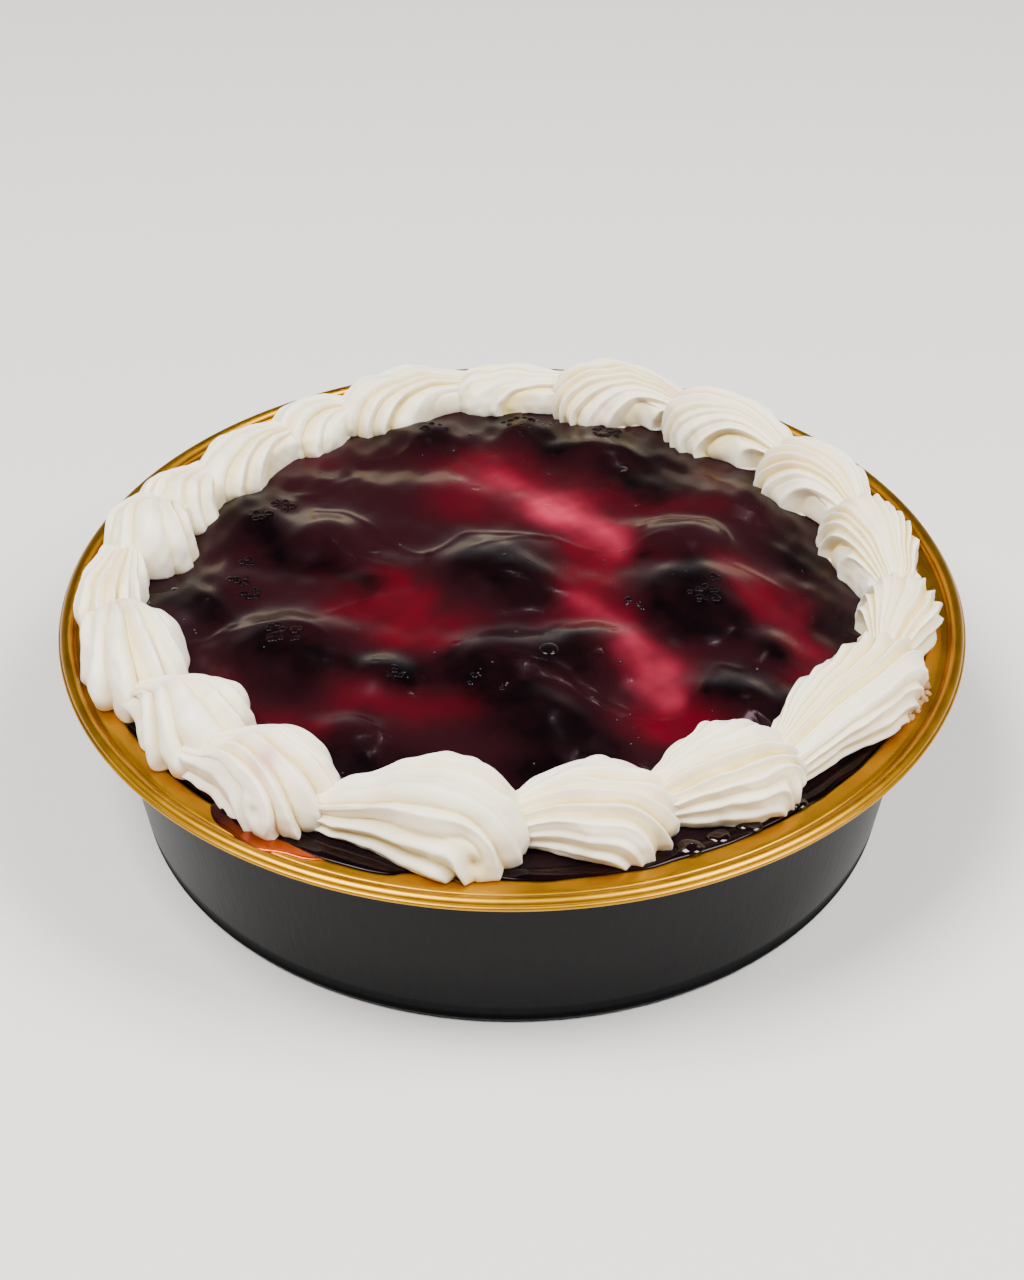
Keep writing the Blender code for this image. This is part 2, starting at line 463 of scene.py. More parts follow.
@dataclass(frozen=True)
class BerryGlaze(Finish):
    """Set berry glaze, poured: a wet, glossy skin, black over berries and red where it is thin."""

    title: str = "set berry glaze, poured"
    berry: str = "050203"
    plum: str = "1F090D"
    red: str = "4A0410"
    pink: str = "9C2C40"
    # Painted reflection: a mauve tint on the gloss, standing in for reddish surroundings mirrored in the
    # glaze.
    painted_reflection_tint: str = "D2A6B8"
    roughness: float = 0.22
    dulling: float = 0.0
    shine: float = 0.27
    coat: float = 0.04
    ripple_mm: float = 9.0

    def shade(self, tree: bpy.types.NodeTree) -> tuple[dict, dict]:
        """Lays red, pink and berry over plum by their fields, and roughens the gloss by field edge.

        Args:
            tree: The material's node tree.

        Returns:
            The shader's settings and its links.
        """
        place = {"Vector": (add_node(tree, "TexCoord"), "Object")}
        mottling = {"Scale": 1.0 / (self.ripple_mm * MM), "Detail": 3.0}
        mottle = add_node(tree, "TexNoise", mottling, place)
        spread = {"From Min": 0.25, "From Max": 0.75, "To Min": 0.55, "To Max": 1.2}
        thin = add_node(tree, "MapRange", spread, {"Value": (mottle, "Fac")})
        product = {"operation": "MULTIPLY", "use_clamp": True}
        under = {}
        for name, over in (("red", self.red), ("pink", self.pink), ("berry", self.berry)):
            field = add_node(tree, "Attribute", {"attribute_name": name})
            share = add_node(tree, "Math", product, {0: (field, "Fac"), 1: (thin, "Result")})
            colours = {"data_type": "RGBA", 6: linear(self.plum), 7: linear(over)}
            colour = add_node(tree, "Mix", colours, {0: (share, "Value"), **under})
            under = {6: (colour, 2)}
        relief = {"Strength": 0.08, "Distance": 0.5 * MM}
        bump = add_node(tree, "Bump", relief, {"Height": (mottle, "Fac")})
        settings = {
            "Roughness": self.roughness,
            "IOR": 1.4,
            "Specular IOR Level": self.shine,
            # Painted reflection: the mauve tint colours every reflection in the glaze.
            "Specular Tint": linear(self.painted_reflection_tint),
            "Coat Weight": self.coat,
            "Coat Roughness": 0.03,
        }
        links = {"Base Color": (colour, 2), "Normal": (bump, "Normal")}
        if self.dulling > 0.0:
            edge = add_node(tree, "Attribute", {"attribute_name": "edge"})
            dull = {"To Min": self.roughness, "To Max": self.roughness + self.dulling}
            rough = add_node(tree, "MapRange", dull, {"Value": (edge, "Fac")})
            links["Roughness"] = (rough, "Result")
        return settings, links


@dataclass(frozen=True)
class WhippedCream(Finish):
    """Whipped cream, piped: soft satin white, with painted shade: warmer in the grooves, where light sinks
    in.

    The froth is drawn coarser than the real one, so that it shows.
    """

    title: str = "whipped cream, piped"
    white: str = "F4E9D4"
    # Painted shade: the groove colour is a warmer tone laid into the grooves, standing in for light that
    # sinks into them.
    groove: str = "DFC880"
    syrup: str = "D9A6A4"
    roughness: float = 0.46
    froth_mm: float = 0.45

    def shade(self, tree: bpy.types.NodeTree) -> tuple[dict, dict]:
        """Paints shade into the grooves by warming the white by field groove, stains it pink by field syrup,
        and adds froth as bump.

        Args:
            tree: The material's node tree.

        Returns:
            The shader's settings and its links.
        """
        groove = add_node(tree, "Attribute", {"attribute_name": "groove"})
        syrup = add_node(tree, "Attribute", {"attribute_name": "syrup"})
        # Painted shade: the white is mixed towards the warmer groove colour by field groove.
        creams = {"data_type": "RGBA", 6: linear(self.white), 7: linear(self.groove)}
        painted_groove_shade = add_node(tree, "Mix", creams, {0: (groove, "Fac")})
        stain = {"data_type": "RGBA", 7: linear(self.syrup)}
        stained = add_node(tree, "Mix", stain, {0: (syrup, "Fac"), 6: (painted_groove_shade, 2)})
        place = {"Vector": (add_node(tree, "TexCoord"), "Object")}
        froth = add_node(tree, "TexNoise", {"Scale": 1.0 / (self.froth_mm * MM), "Detail": 3.0}, place)
        relief = {"Strength": 0.16, "Distance": 0.12 * MM}
        bump = add_node(tree, "Bump", relief, {"Height": (froth, "Fac")})
        settings = {
            "Roughness": self.roughness,
            "Subsurface Weight": 0.35,
            "Subsurface Radius": (1.0, 0.72, 0.42),
            "Subsurface Scale": 2.2 * MM,
        }
        return settings, {"Base Color": (stained, 2), "Normal": (bump, "Normal")}


@dataclass(frozen=True)
class SyrupFilm(Finish):
    """A thin run of berry syrup on gold foil: amber red, dark where it is thick."""

    title: str = "berry syrup on foil"
    thick: str = "2A0304"
    thin: str = "9C400A"
    roughness: float = 0.26

    def shade(self, tree: bpy.types.NodeTree) -> tuple[dict, dict]:
        """Mixes the thin amber with the thick red by field depth, over the foil's own gleam.

        Args:
            tree: The material's node tree.

        Returns:
            The shader's settings and its links.
        """
        depth = add_node(tree, "Attribute", {"attribute_name": "depth"})
        syrups = {"data_type": "RGBA", 6: linear(self.thin), 7: linear(self.thick)}
        tone = add_node(tree, "Mix", syrups, {0: (depth, "Fac")})
        return {"Roughness": self.roughness, "Metallic": 0.75}, {"Base Color": (tone, 2)}


@dataclass(frozen=True)
class BakedCrumb(Finish):
    """Baked pastry crumbs: matt, from golden to brown."""

    title: str = "baked pastry crumb"
    pale: str = "D8B27A"
    brown: str = "6B3A1A"
    crumbs_per_mm: float = 0.9

    def shade(self, tree: bpy.types.NodeTree) -> tuple[dict, dict]:
        """Mixes the two browns and roughens the crumb by one noise.

        Args:
            tree: The material's node tree.

        Returns:
            The shader's settings and its links.
        """
        place = {"Vector": (add_node(tree, "TexCoord"), "Object")}
        noise = add_node(tree, "TexNoise", {"Scale": self.crumbs_per_mm / MM}, place)
        browns = {"data_type": "RGBA", 6: linear(self.brown), 7: linear(self.pale)}
        tone = add_node(tree, "Mix", browns, {0: (noise, "Fac")})
        relief = {"Strength": 0.6, "Distance": 0.2 * MM}
        bump = add_node(tree, "Bump", relief, {"Height": (noise, "Fac")})
        return {"Roughness": 0.85}, {"Base Color": (tone, 2), "Normal": (bump, "Normal")}


@dataclass(frozen=True)
class PaleSurface(Finish):
    """A pale painted studio floor, matt."""

    title: str = "pale studio floor"
    tone: str = "DAD7D3"

    def shade(self, tree: bpy.types.NodeTree) -> tuple[dict, dict]:
        """Gives one matt colour."""
        return {"Base Color": linear(self.tone), "Roughness": 0.8}, {}


@dataclass
class FoilTin:
    """The tin: a round foil tray with a flat flange, a groove, a rolled bead and an outer lip."""

    mouth_radius: float = 86.5
    base_radius: float = 80.5
    flange_top: float = 43.9
    foil: float = 0.5
    corner: float = 1.5
    groove_radius: float = 91.6
    groove_depth: float = 0.45
    bead_centre: tuple[float, float] = (93.15, 43.75)
    bead_radius: float = 1.45
    lip_centre: tuple[float, float] = (94.42, 43.55)
    lip_radius: float = 0.5
    hub: float = 2.0
    steps: int = 300
    dent: float = 0.14

    @staticmethod
    def bend(centre: tuple, radius: float, start: float, end: float, count: int) -> list:
        """Points of an arc in the turned profile, from start to end in degrees."""
        angles = np.radians(np.linspace(start, end, count))
        return [(centre[0] + radius * math.cos(a), centre[1] + radius * math.sin(a)) for a in angles]

    def wall(self, inset: float, from_top: bool) -> list:
        """Places points evenly along the straight, sloping wall.

        Args:
            inset: How far inside its outer face.
            from_top: Whether the points run down.

        Returns:
            Radius and height of each point.
        """
        share = np.linspace(0.0, 1.0, 12)
        radius = self.base_radius + (self.mouth_radius + self.foil - self.base_radius) * share
        height = self.corner + (self.flange_top - 0.9 - self.corner) * share
        points = list(zip(radius - inset, height))
        return points[::-1] if from_top else points

    def floor_edge(self, inset: float) -> list:
        """Points of the rounded corner between floor and wall, from the floor up."""
        centre = (self.base_radius - self.corner, self.corner)
        return self.bend(centre, self.corner - inset, -90.0, 0.0, 6)

    def gold_profile(self) -> list:
        """Draws half a section of the gold layer: floor, wall, flange, bead and lip, then back inside.

        Returns:
            Radius and height of each point.
        """
        half = 0.5 * self.foil
        shoulder = self.bend((self.mouth_radius + 0.9, self.flange_top - 0.9), 0.9, 180.0, 90.0, 6)
        share = np.linspace(0.0, 1.0, 9)
        dip = self.flange_top - self.groove_depth * np.sin(math.pi * share) ** 2
        flange = [(self.mouth_radius + 2.0, self.flange_top), (89.6, self.flange_top)]
        groove = list(zip(self.groove_radius - 0.75 + 1.0 * share, dip))
        bead = self.bend(self.bead_centre, self.bead_radius, 172.0, 22.0, 18)
        lip = self.bend(self.lip_centre, self.lip_radius, 100.0, -90.0, 10)
        under = [(93.9, 42.55), (92.9, 42.35), (92.0, 42.7), (91.7, 43.3), (91.2, 43.6)]
        back = [(self.mouth_radius + 1.6, self.flange_top - half), (self.mouth_radius + 0.6, 43.3)]
        inside = [(self.hub, self.foil)] + self.floor_edge(self.foil) + self.wall(self.foil, False)
        outside = self.wall(half, True) + self.floor_edge(half)[::-1] + [(self.hub, half)]
        return inside + shoulder + flange + groove + bead + lip + under + back + outside

    def dark_profile(self) -> list:
        """Draws half a section of the dark layer: up inside the gold one, under the flange and down.

        Returns:
            Radius and height of each point.
        """
        half = 0.5 * self.foil
        under = self.flange_top - self.foil
        inside = [(self.hub, half)] + self.floor_edge(half) + self.wall(half, False)
        turn = [(self.mouth_radius + 0.6, 43.3), (self.mouth_radius + 1.6, self.flange_top - half)]
        edge = [(91.2, 43.6), (91.2, under), (self.mouth_radius + 1.5, under)]
        outside = self.wall(0.0, True) + self.floor_edge(0.0)[::-1] + [(self.hub, 0.0)]
        return inside + turn + edge + outside

    def turned(self, profile: list) -> Array:
        """Turns a half section round the axis and adds the dents of handled foil.

        A point's radius loses a slow wave of its angle, which fades towards the base.

        Args:
            profile: Radius and height of the half section.

        Returns:
            Points by profile point and by angle.
        """
        radius, height = np.asarray(profile, dtype=float).T
        angle = np.linspace(0.0, 2.0 * math.pi, self.steps, endpoint=False)
        wave = 0.5 - 0.25 * np.cos(3 * angle + 0.7) - 0.15 * np.cos(7 * angle + 2.0)
        wave = wave - 0.1 * np.cos(19 * angle)
        fade = smooth_step(height / self.flange_top)[:, None] * smooth_step(radius / 60.0)[:, None]
        r = radius[:, None] - self.dent * wave[None, :] * fade
        sag = 0.12 * np.cos(2 * angle + 1.0)[None, :] * smooth_step((radius - 80.0) / 12.0)[:, None]
        z = height[:, None] + (sag - 0.12) * fade
        return np.stack([r * np.cos(angle), r * np.sin(angle), np.maximum(z, 0.0)], axis=-1)

    def build(self, gold: bpy.types.Material, dark: bpy.types.Material) -> None:
        """Builds the gold and the dark layer of the foil.

        Args:
            gold: The inner layer's material.
            dark: The outer layer's material.
        """
        points, faces = closed_tube(self.turned(self.gold_profile()))
        make_piece("tin_gold_foil", points, faces, gold, Slot.FOIL, ("tin",))
        points, faces = closed_tube(self.turned(self.dark_profile()))
        make_piece("tin_dark_foil", points, faces, dark, Slot.LACQUER, ("tin",))


@dataclass(frozen=True)
class Stroke:
    """A run of colour or a fold in the glaze: half width, level and the points of its line."""

    width: float
    level: float
    line: tuple

    def weight(self, x: Array, y: Array) -> Array:
        """The stroke's strength at places: its level, times a bell curve of the distance."""
        far = distance_to_line(x, y, flowing_line(self.line))
        return self.level * np.exp(-((far / self.width) ** 2))


def strokes(*rows: tuple) -> tuple[Stroke, ...]:
    """Makes strokes from rows of half width, level, and then X and Y of each point."""
    return tuple(Stroke(row[0], row[1], tuple(zip(row[2::2], row[3::2]))) for row in rows)


def dark_fields(count: int) -> dict[str, Array]:
    """Makes the glaze's colour fields for a piece that is as dark as a berry all over."""
    full = np.ones(count)
    return {"berry": full, "red": 0.0 * full, "pink": 0.0 * full}


@dataclass
class GlazedTop:
    """The filling: mounds of berries under one skin of glaze, with its folds, pits and colours.

    blisters are rows of X, Y and radius. crowns and bubbles are round patches of beads: X, Y, radius
    and number of beads. mounds are X, Y, radius and rise. run_ends are where the glaze has run
    further over the tin's mouth: start and end angles and how much further.
    """

    top_radius: float = 86.1
    edge_level: float = 43.8
    dome: float = 2.0
    cells: int = 290
    visible_radius: float = 78.0
    visible_share: float = 0.95
    tin_slope: float = 6.5 / 43.9
    floor: float = 0.8
    corner: float = 1.5
    side_level: float = 22.0
    fade: float = 7.0
    fold_rise: float = 0.27
    mound_size: float = 0.92
    pit_depth: float = 0.5
    dark_rim: tuple[float, float] = (70.0, 9.0)
    dull_rim: tuple[float, float] = (60.0, 12.0)
    uneven_rim: tuple[float, float] = (56.0, 12.0)
    shift_x: tuple = ((1.2, 15.0, 51), (0.2, 5.0, 52))
    shift_y: tuple = ((1.2, 15.0, 53), (0.2, 5.0, 54))
    mottle: tuple = ((0.14, 11.0, 55), (0.07, 4.0, 56))
    run_steps: int = 480
    run_inner: float = 83.0
    run_reach: float = 86.7
    run_ends: tuple = ((231.0, 258.0, 1.7), (268.0, 300.0, 0.5), (207.0, 212.0, 0.7))
    blisters: tuple = (
        (7.5, -23.0, 2.0), (-7.5, -30.0, 0.9), (-8.2, -32.0, 0.7), (-2.0, -35.0, 0.6),
        (25.0, 48.0, 1.1), (24.5, -3.0, 0.9), (27.2, -6.0, 0.7), (-24.0, -27.5, 0.7),
        (-44.0, -19.0, 0.8), (-71.0, 1.0, 0.8), (39.5, -3.0, 0.7),
    )
    crowns: tuple = (
        (-47.0, -17.0, 3.6, 22), (40.0, -4.0, 3.4, 16), (-54.5, 27.5, 2.2, 7), (-50.5, 34.0, 2.2, 9),
        (-58.0, 5.5, 2.0, 9), (-55.0, 1.5, 1.8, 7), (-66.0, 37.0, 2.4, 7), (22.0, 63.0, 3.6, 18),
        (-23.5, -29.5, 1.8, 6), (-57.0, 12.5, 1.6, 5), (42.5, 2.0, 1.4, 5), (2.0, 68.5, 4.0, 9),
        (-18.0, 64.0, 3.0, 7),
    )
    bubbles: tuple = (
        (-78.0, -3.0, 2.2, 14), (-68.0, -12.0, 3.0, 5), (-66.0, 38.0, 4.0, 6), (25.5, 47.5, 1.6, 4),
        (25.5, -4.0, 1.8, 5), (-7.5, -31.0, 1.4, 4), (-2.0, -34.5, 1.6, 3), (-22.0, -30.0, 1.8, 3),
        (6.0, 67.0, 3.4, 6), (-35.0, -58.0, 4.0, 6), (60.0, -36.0, 5.0, 4), (20.0, -48.0, 9.0, 5),
        (0.0, 0.0, 68.0, 34),
    )
    mounds: tuple = (
        (-3.6, 7.5, 13.0, 4.2), (39.0, -0.5, 14.0, 4.0), (-45.0, -19.0, 14.0, 3.8),
        (-26.0, -28.5, 7.0, 2.6), (-2.4, -25.5, 12.0, 3.6), (16.0, -21.0, 11.0, 3.4),
        (-33.0, -47.0, 8.0, 2.2), (-59.0, 29.0, 10.0, 3.0), (-68.0, -3.5, 9.0, 3.0),
        (-18.5, 62.0, 9.0, 2.6), (1.5, 66.0, 7.0, 2.2), (20.0, 57.0, 10.0, 2.8),
        (52.5, -19.0, 7.0, 2.2), (44.0, -36.0, 12.0, 3.4), (38.5, 19.5, 9.0, 3.2),
        (-41.0, 20.0, 9.0, 2.8), (6.0, -43.0, 12.0, 2.6), (-12.0, 38.0, 9.0, 2.0),
        (50.0, 36.0, 10.0, 2.2),
    )
    folds: tuple = strokes(
        (0.8, 0.55, -43, 32, -37, 31, -31, 26, -26, 20, -21, 15, -18, 14),
        (0.8, 0.6, -18, 14, -14, 17, -11, 21, -8, 22, 0, 21.5, 6, 21.5),
        (0.9, 0.5, -18, 14, -19, 10, -18, 6, -19, 3, -22, 1, -28, -1, -38, -7),
        (0.7, 0.5, -8, 14, -4, 17, 2, 20, 9, 21),
        (0.8, 0.6, 10, 20, 17, 16, 21, 15.5, 25, 16, 29, 19.5, 33, 20, 37, 15),
        (0.8, 0.6, 28, 25, 31, 28, 36, 29, 41, 27, 44, 26, 47, 20, 46, 15),
        (0.9, 0.6, 0, -25, 5, -26, 10, -28, 14, -33, 18, -37, 24, -40, 30, -42),
        (0.9, 0.6, 30, -42, 35, -41, 37, -37, 39, -31, 42, -25, 46, -27),
        (1.1, 0.4, -60, -14, -50, -13, -42, -14, -38, -18, -38, -24),
        (0.7, 0.4, -30, -42, -26, -45, -24, -47),
        (0.7, 0.45, -4, -47, -2, -44),
        (1.3, 0.45, -57, 43, -50, 40, -44, 39, -38, 44, -34, 47),
        (1.0, 0.4, -42, 20, -36, 15, -30, 12, -26, 10),
        (0.7, 0.5, 20, 40, 24, 37, 27, 35),
        (0.9, 0.4, 48, 10, 52, 7, 57, 2),
        (0.7, 0.5, 14, -53, 18, -54),
        (0.9, 0.5, -67, -17, -62, -15, -58, -11),
        (1.0, 0.4, -33, 53, -27, 54, -22, 58),
    )
    reds: tuple = strokes(
        (8.5, 0.9, -12, 47, 2, 43, 10, 36, 20, 26, 22, 19),
        (7.5, 1.0, 16, 14, 16, 3, 19, -6, 23, -15, 28, -24, 32, -32, 33, -38),
        (6.0, 0.95, 47, 8, 54, -3, 58, -12, 62, -21, 60, -30),
        (8.0, 1.0, -34, -5, -24, -6, -22, -14, -14, -14),
        (4.5, 0.7, -27, 8, -20, 2),
        (6.0, 0.75, -34, -34, -22, -37, -10, -38),
        (5.5, 0.7, -50, -41, -38, -45),
        (5.5, 0.8, 24, -43, 33, -46, 40, -44),
        (4.0, 0.5, -40, 7, -36, 4),
        (7.0, 0.55, -14, 33, -4, 28),
        (5.0, 0.6, 8, -12, 16, -10),
        (3.0, 0.5, 31, 13, 34, 9),
        (5.0, 0.45, 24, 40, 34, 34, 44, 32),
        (3.5, 0.6, -60, -28, -55, -33),
        (5.0, 0.35, -50, 52, -44, 54),
        (5.0, 0.4, -8, 52, 4, 53),
        (4.0, 0.35, 44, 47, 50, 42),
    )
    pinks: tuple = strokes(
        (5.8, 0.68, 9, 33, 16, 27, 21, 20),
        (6.0, 0.42, -4, 43, 2, 39, 8, 35),
        (3.8, 0.36, 16, -3, 19, -9, 22, -15),
        (5.4, 0.56, 25, -20, 29, -25, 32, -33),
        (2.6, 0.22, 25, -32, 28, -36, 33, -37),
        (3.5, 0.12, 55, -8, 60, -18),
        (3.0, 0.1, -28, 0, -22, 1),
    )
    berries: tuple = strokes(
        (9.5, 1.0, -62, 37, -57, 27),
        (8.0, 1.0, -72, 2, -66, -6),
        (9.5, 0.95, -49, -20, -43, -24),
        (9.0, 1.0, -5, 8, 2, 3),
        (9.0, 1.05, 35, -4, 41, -9),
        (9.5, 1.0, -8, -27, -2, -36, 8, -46),
        (7.5, 0.9, 9, -20, 16, -24),
        (5.5, 1.0, -27, -27, -24, -29),
        (9.0, 1.0, -35, -56, -26, -58),
        (9.0, 0.95, 44, -34, 52, -38),
        (9.0, 0.9, 14, 58, 28, 57, 34, 50),
        (7.5, 0.95, -26, 66, -18, 62),
        (7.0, 0.95, -4, 71, 4, 67),
        (6.5, 0.8, 60, 22, 66, 4, 67, -10),
        (7.0, 0.85, 5, -60, 18, -55),
        (4.0, 0.7, 52, -18, 55, -20),
        (6.5, 0.75, -48, 14, -32, 4),
        (5.0, 0.6, 30, 14, 38, 8),
        (6.0, 0.7, 55, 45, 62, 34),
        (5.0, 0.6, 24, 44, 30, 41),
    )

    def clearance(self, x: Array, y: Array, border: "CreamBorder") -> Array:
        """Finds how clear of the cream border the glaze is, by its inner edge nearby.

        Args:
            x: Places along X, in millimetres.
            y: Places along Y.
            border: The cream border that the glaze meets.

        Returns:
            1 well inside the border, falling to 0 where the cream stands.
        """
        radius = np.hypot(x, y)
        angle = np.degrees(np.arctan2(y, x))
        nearby = [border.inner_edge(angle + turn) for turn in (-6.0, 0.0, 6.0)]
        return smooth_step((np.minimum.reduce(nearby) + 6.0 - radius) / self.fade)

    def level(self, x: Array, y: Array, border: "CreamBorder") -> Array:
        """Height of the glaze: dome and mounds, uneven lumps, folds and pits, flat at the border.

        A mound is its rise times a bell curve of the distance from its centre. Folds are narrow
        bell curves across their lines, and pits are the tops of short waves, turned down.

        Args:
            x: Places along X, in millimetres.
            y: Places along Y.
            border: The cream border that the glaze meets.

        Returns:
            Heights in millimetres.
        """
        rise = self.dome * (1.0 - (x**2 + y**2) / (self.top_radius + 0.9) ** 2)
        for mound_x, mound_y, size, height in self.mounds:
            far = np.hypot(x - mound_x, y - mound_y) / (self.mound_size * size)
            rise = rise + height * np.exp(-(far**2.4))
        rise = rise + 0.3 * waves(x, y, 0.0, 19.0, seed=3)
        inner, span = self.uneven_rim
        near_border = smooth_step((np.hypot(x, y) - inner) / span)
        rise = rise + (0.07 + 0.2 * near_border) * waves(x, y, 0.0, 7.0, seed=4)
        for fold in self.folds:
            rise = rise + self.fold_rise * fold.weight(x, y)
        pits = np.clip(waves(x, y, 0.0, 5.0, seed=9) - 1.9, 0.0, 1.0)
        rise = rise - self.pit_depth * pits
        return self.edge_level + np.maximum(rise, 0.0) * self.clearance(x, y, border)

    def plan(self) -> tuple[Array, Array]:
        """Bends a square grid into the top's disc, with finer cells inside the border.

        The square from -1 to 1 becomes the unit disc by x times the root of 1 less half of y
        squared, and y likewise. The radius is then stretched past the part that shows.

        Returns:
            Places along X and Y.
        """
        side = np.linspace(-1.0, 1.0, self.cells + 1)
        u, v = np.meshgrid(side, side, indexing="ij")
        x, y = u * np.sqrt(1.0 - 0.5 * v**2), v * np.sqrt(1.0 - 0.5 * u**2)
        radius = np.hypot(x, y)
        inner, share = self.visible_radius / self.top_radius, self.visible_share
        past = inner + (radius - share) / (1.0 - share) * (1.0 - inner)
        wanted = np.where(radius < share, radius * inner / share, past)
        scale = self.top_radius * wanted / np.maximum(radius, 1e-9)
        return x * scale, y * scale

    def colours(self, x: Array, y: Array) -> dict[str, Array]:
        """Works out the colour fields: the sum of the strokes at places shifted by slow waves.

        The sum is mottled by waves. Berry is also made full, the darkest colour, towards the rim by radius
        alone and under the cream, and edge rises from 0 to 1 towards the border.

        Args:
            x: Places along X, in millimetres.
            y: Places along Y.

        Returns:
            A field from 0 to 1 by name.
        """
        shift_x, shift_y = (layered_waves(x, y, layers) for layers in (self.shift_x, self.shift_y))
        uneven = 1.0 + layered_waves(x, y, self.mottle)
        fields = {
            name: np.clip(uneven * sum(run.weight(x + shift_x, y + shift_y) for run in runs), 0.0, 1.0)
            for name, runs in (("berry", self.berries), ("red", self.reds), ("pink", self.pinks))
        }
        radius = np.hypot(x, y)
        # The glaze is made darker towards the rim, by radius alone.
        rim = smooth_step((radius + shift_x - self.dark_rim[0]) / self.dark_rim[1])
        fields["berry"] = np.maximum(np.minimum(1.25 * fields["berry"], 1.0), rim)
        fields["red"] = fields["red"] ** 1.5
        fields["pink"] = fields["pink"] ** 1.3
        fields["edge"] = smooth_step((radius - self.dull_rim[0]) / self.dull_rim[1])
        return fields

    def build(self, glaze: bpy.types.Material, border: "CreamBorder") -> None:
        """Builds the filling: the top grid, a side down to the floor, and a flat base.

        Args:
            glaze: The glaze's material.
            border: The cream border that the glaze meets.
        """
        x, y = self.plan()
        top = np.stack([x, y, self.level(x, y, border)], axis=-1)
        rows = self.cells + 1
        above = grid_rim(rows)
        points, faces = [top.reshape(-1, 3)], [grid_faces(rows, rows)]
        edge = points[0][above]
        outward = edge[:, :2] / np.linalg.norm(edge[:, :2], axis=1, keepdims=True)
        count = rows * rows
        foot = self.floor + self.corner
        for height, inset in ((self.side_level, 0.0), (foot, 0.0), (self.floor, self.corner)):
            radius = self.top_radius - self.tin_slope * (self.edge_level - height) - inset
            points.append(np.hstack([outward * radius, np.full((len(above), 1), height)]))
            below = count + np.arange(len(above))
            faces.append(band_faces(above, below)[:, ::-1])
            above, count = below, count + len(above)
        points.append(np.array([[0.0, 0.0, self.floor]]))
        faces.append(fan_faces(above, count)[:, ::-1])
        everything = np.vstack(points)
        fields = self.colours(everything[:, 0], everything[:, 1])
        make_piece("glazed_filling", everything, faces, glaze, Slot.GLAZE, ("filling",), fields)

    def build_run(self, glaze: bpy.types.Material) -> None:
        """Builds the glaze that has run over the tin's mouth: a low bead with a wandering edge.

        Its section is a closed profile of shares of the way out and heights, and the way out is a
        slow wave of the angle with a few further runs.

        Args:
            glaze: The run glaze's material.
        """
        angle = np.linspace(0.0, 360.0, self.run_steps, endpoint=False)
        turn = np.radians(angle)
        outer = self.run_reach + 0.3 * waves(90.0 * np.cos(turn), 90.0 * np.sin(turn), 0.0, 9.0, seed=21)
        for start, end, extra in self.run_ends:
            inside = smooth_step((angle - start) / 3.0) * smooth_step((end - angle) / 3.0)
            outer = outer + extra * inside
        share = np.array([0.0, 0.25, 0.5, 0.72, 0.88, 0.97, 1.0, 0.97, 0.5, 0.0])[:, None]
        level = np.array([43.5, 44.05, 44.25, 44.3, 44.22, 44.08, 43.96, 43.86, 43.5, 43.3])[:, None]
        radius = self.run_inner + share * (outer[None, :] - self.run_inner)
        height = np.broadcast_to(level, radius.shape)
        points = np.stack([radius * np.cos(turn), radius * np.sin(turn), height], axis=-1).reshape(-1, 3)
        seam = np.arange(self.run_steps)
        closing = band_faces(seam, seam + (len(share) - 1) * self.run_steps)
        faces = [grid_faces(len(share), self.run_steps, wrap=True), closing]
        fields = dark_fields(len(points))
        make_piece("glaze_over_rim", points, faces, glaze, Slot.GLAZE, (), fields)

    def scatter(self, patches: tuple, sizes: tuple, seed: int) -> tuple[Array, Array]:
        """Draws places and radii evenly in round patches.

        Args:
            patches: X, Y, radius and number of beads of each patch.
            sizes: Smallest and largest radius of a bead.
            seed: Seed of the random draw.

        Returns:
            The places along X and Y, and the radii.
        """
        draw = np.random.default_rng(seed)
        places, radii = [], []
        for x, y, spread, count in patches:
            far = spread * np.sqrt(draw.uniform(0.0, 1.0, count))
            turn = draw.uniform(0.0, 2.0 * math.pi, count)
            places.append(np.stack([x + far * np.cos(turn), y + far * np.sin(turn)], axis=-1))
            radii.append(draw.uniform(*sizes, count))
        return np.vstack(places), np.concatenate(radii)

    def build_beads(
        self,
        name: str,
        places: Array,
        radii: Array,
        flatness: float,
        glaze: bpy.types.Material,
        border: "CreamBorder",
    ) -> None:
        """Builds small round beads that sit half sunk in the glaze, as one joined mesh.

        Args:
            name: The piece's name.
            places: Centres along X and Y, in millimetres.
            radii: The beads' radii.
            flatness: A bead's height as a share of its radius.
            glaze: The glaze's material.
            border: The cream border that the glaze meets.
        """
        template, template_faces = ball(8, 12)
        centres = np.column_stack([places, self.level(places[:, 0], places[:, 1], border)])
        scale = np.stack([radii, radii, radii * flatness], axis=-1)
        points = (centres[:, None, :] + template[None, :, :] * scale[:, None, :]).reshape(-1, 3)
        faces = repeated(template_faces, len(places), len(template))
        make_piece(name, points, faces, glaze, Slot.GLAZE, (), dark_fields(len(points)))

    def build_details(
        self, skin: bpy.types.Material, glaze: bpy.types.Material, border: "CreamBorder"
    ) -> None:
        """Builds the lumpy berry crowns, and the bubbles and blisters in the glaze.

        Args:
            skin: The puckered berry skin's material.
            glaze: The bubbles' and blisters' material.
            border: The cream border that the glaze meets.
        """
        places, radii = self.scatter(self.crowns, (0.5, 1.1), seed=31)
        self.build_beads("berry_crowns", places, radii, 0.45, skin, border)
        places, radii = self.scatter(self.bubbles, (0.16, 0.4), seed=32)
        self.build_beads("glaze_bubbles", places, radii, 0.9, glaze, border)
        blisters = np.array(self.blisters)
        self.build_beads("glaze_blisters", blisters[:, :2], blisters[:, 2], 0.13, glaze, border)


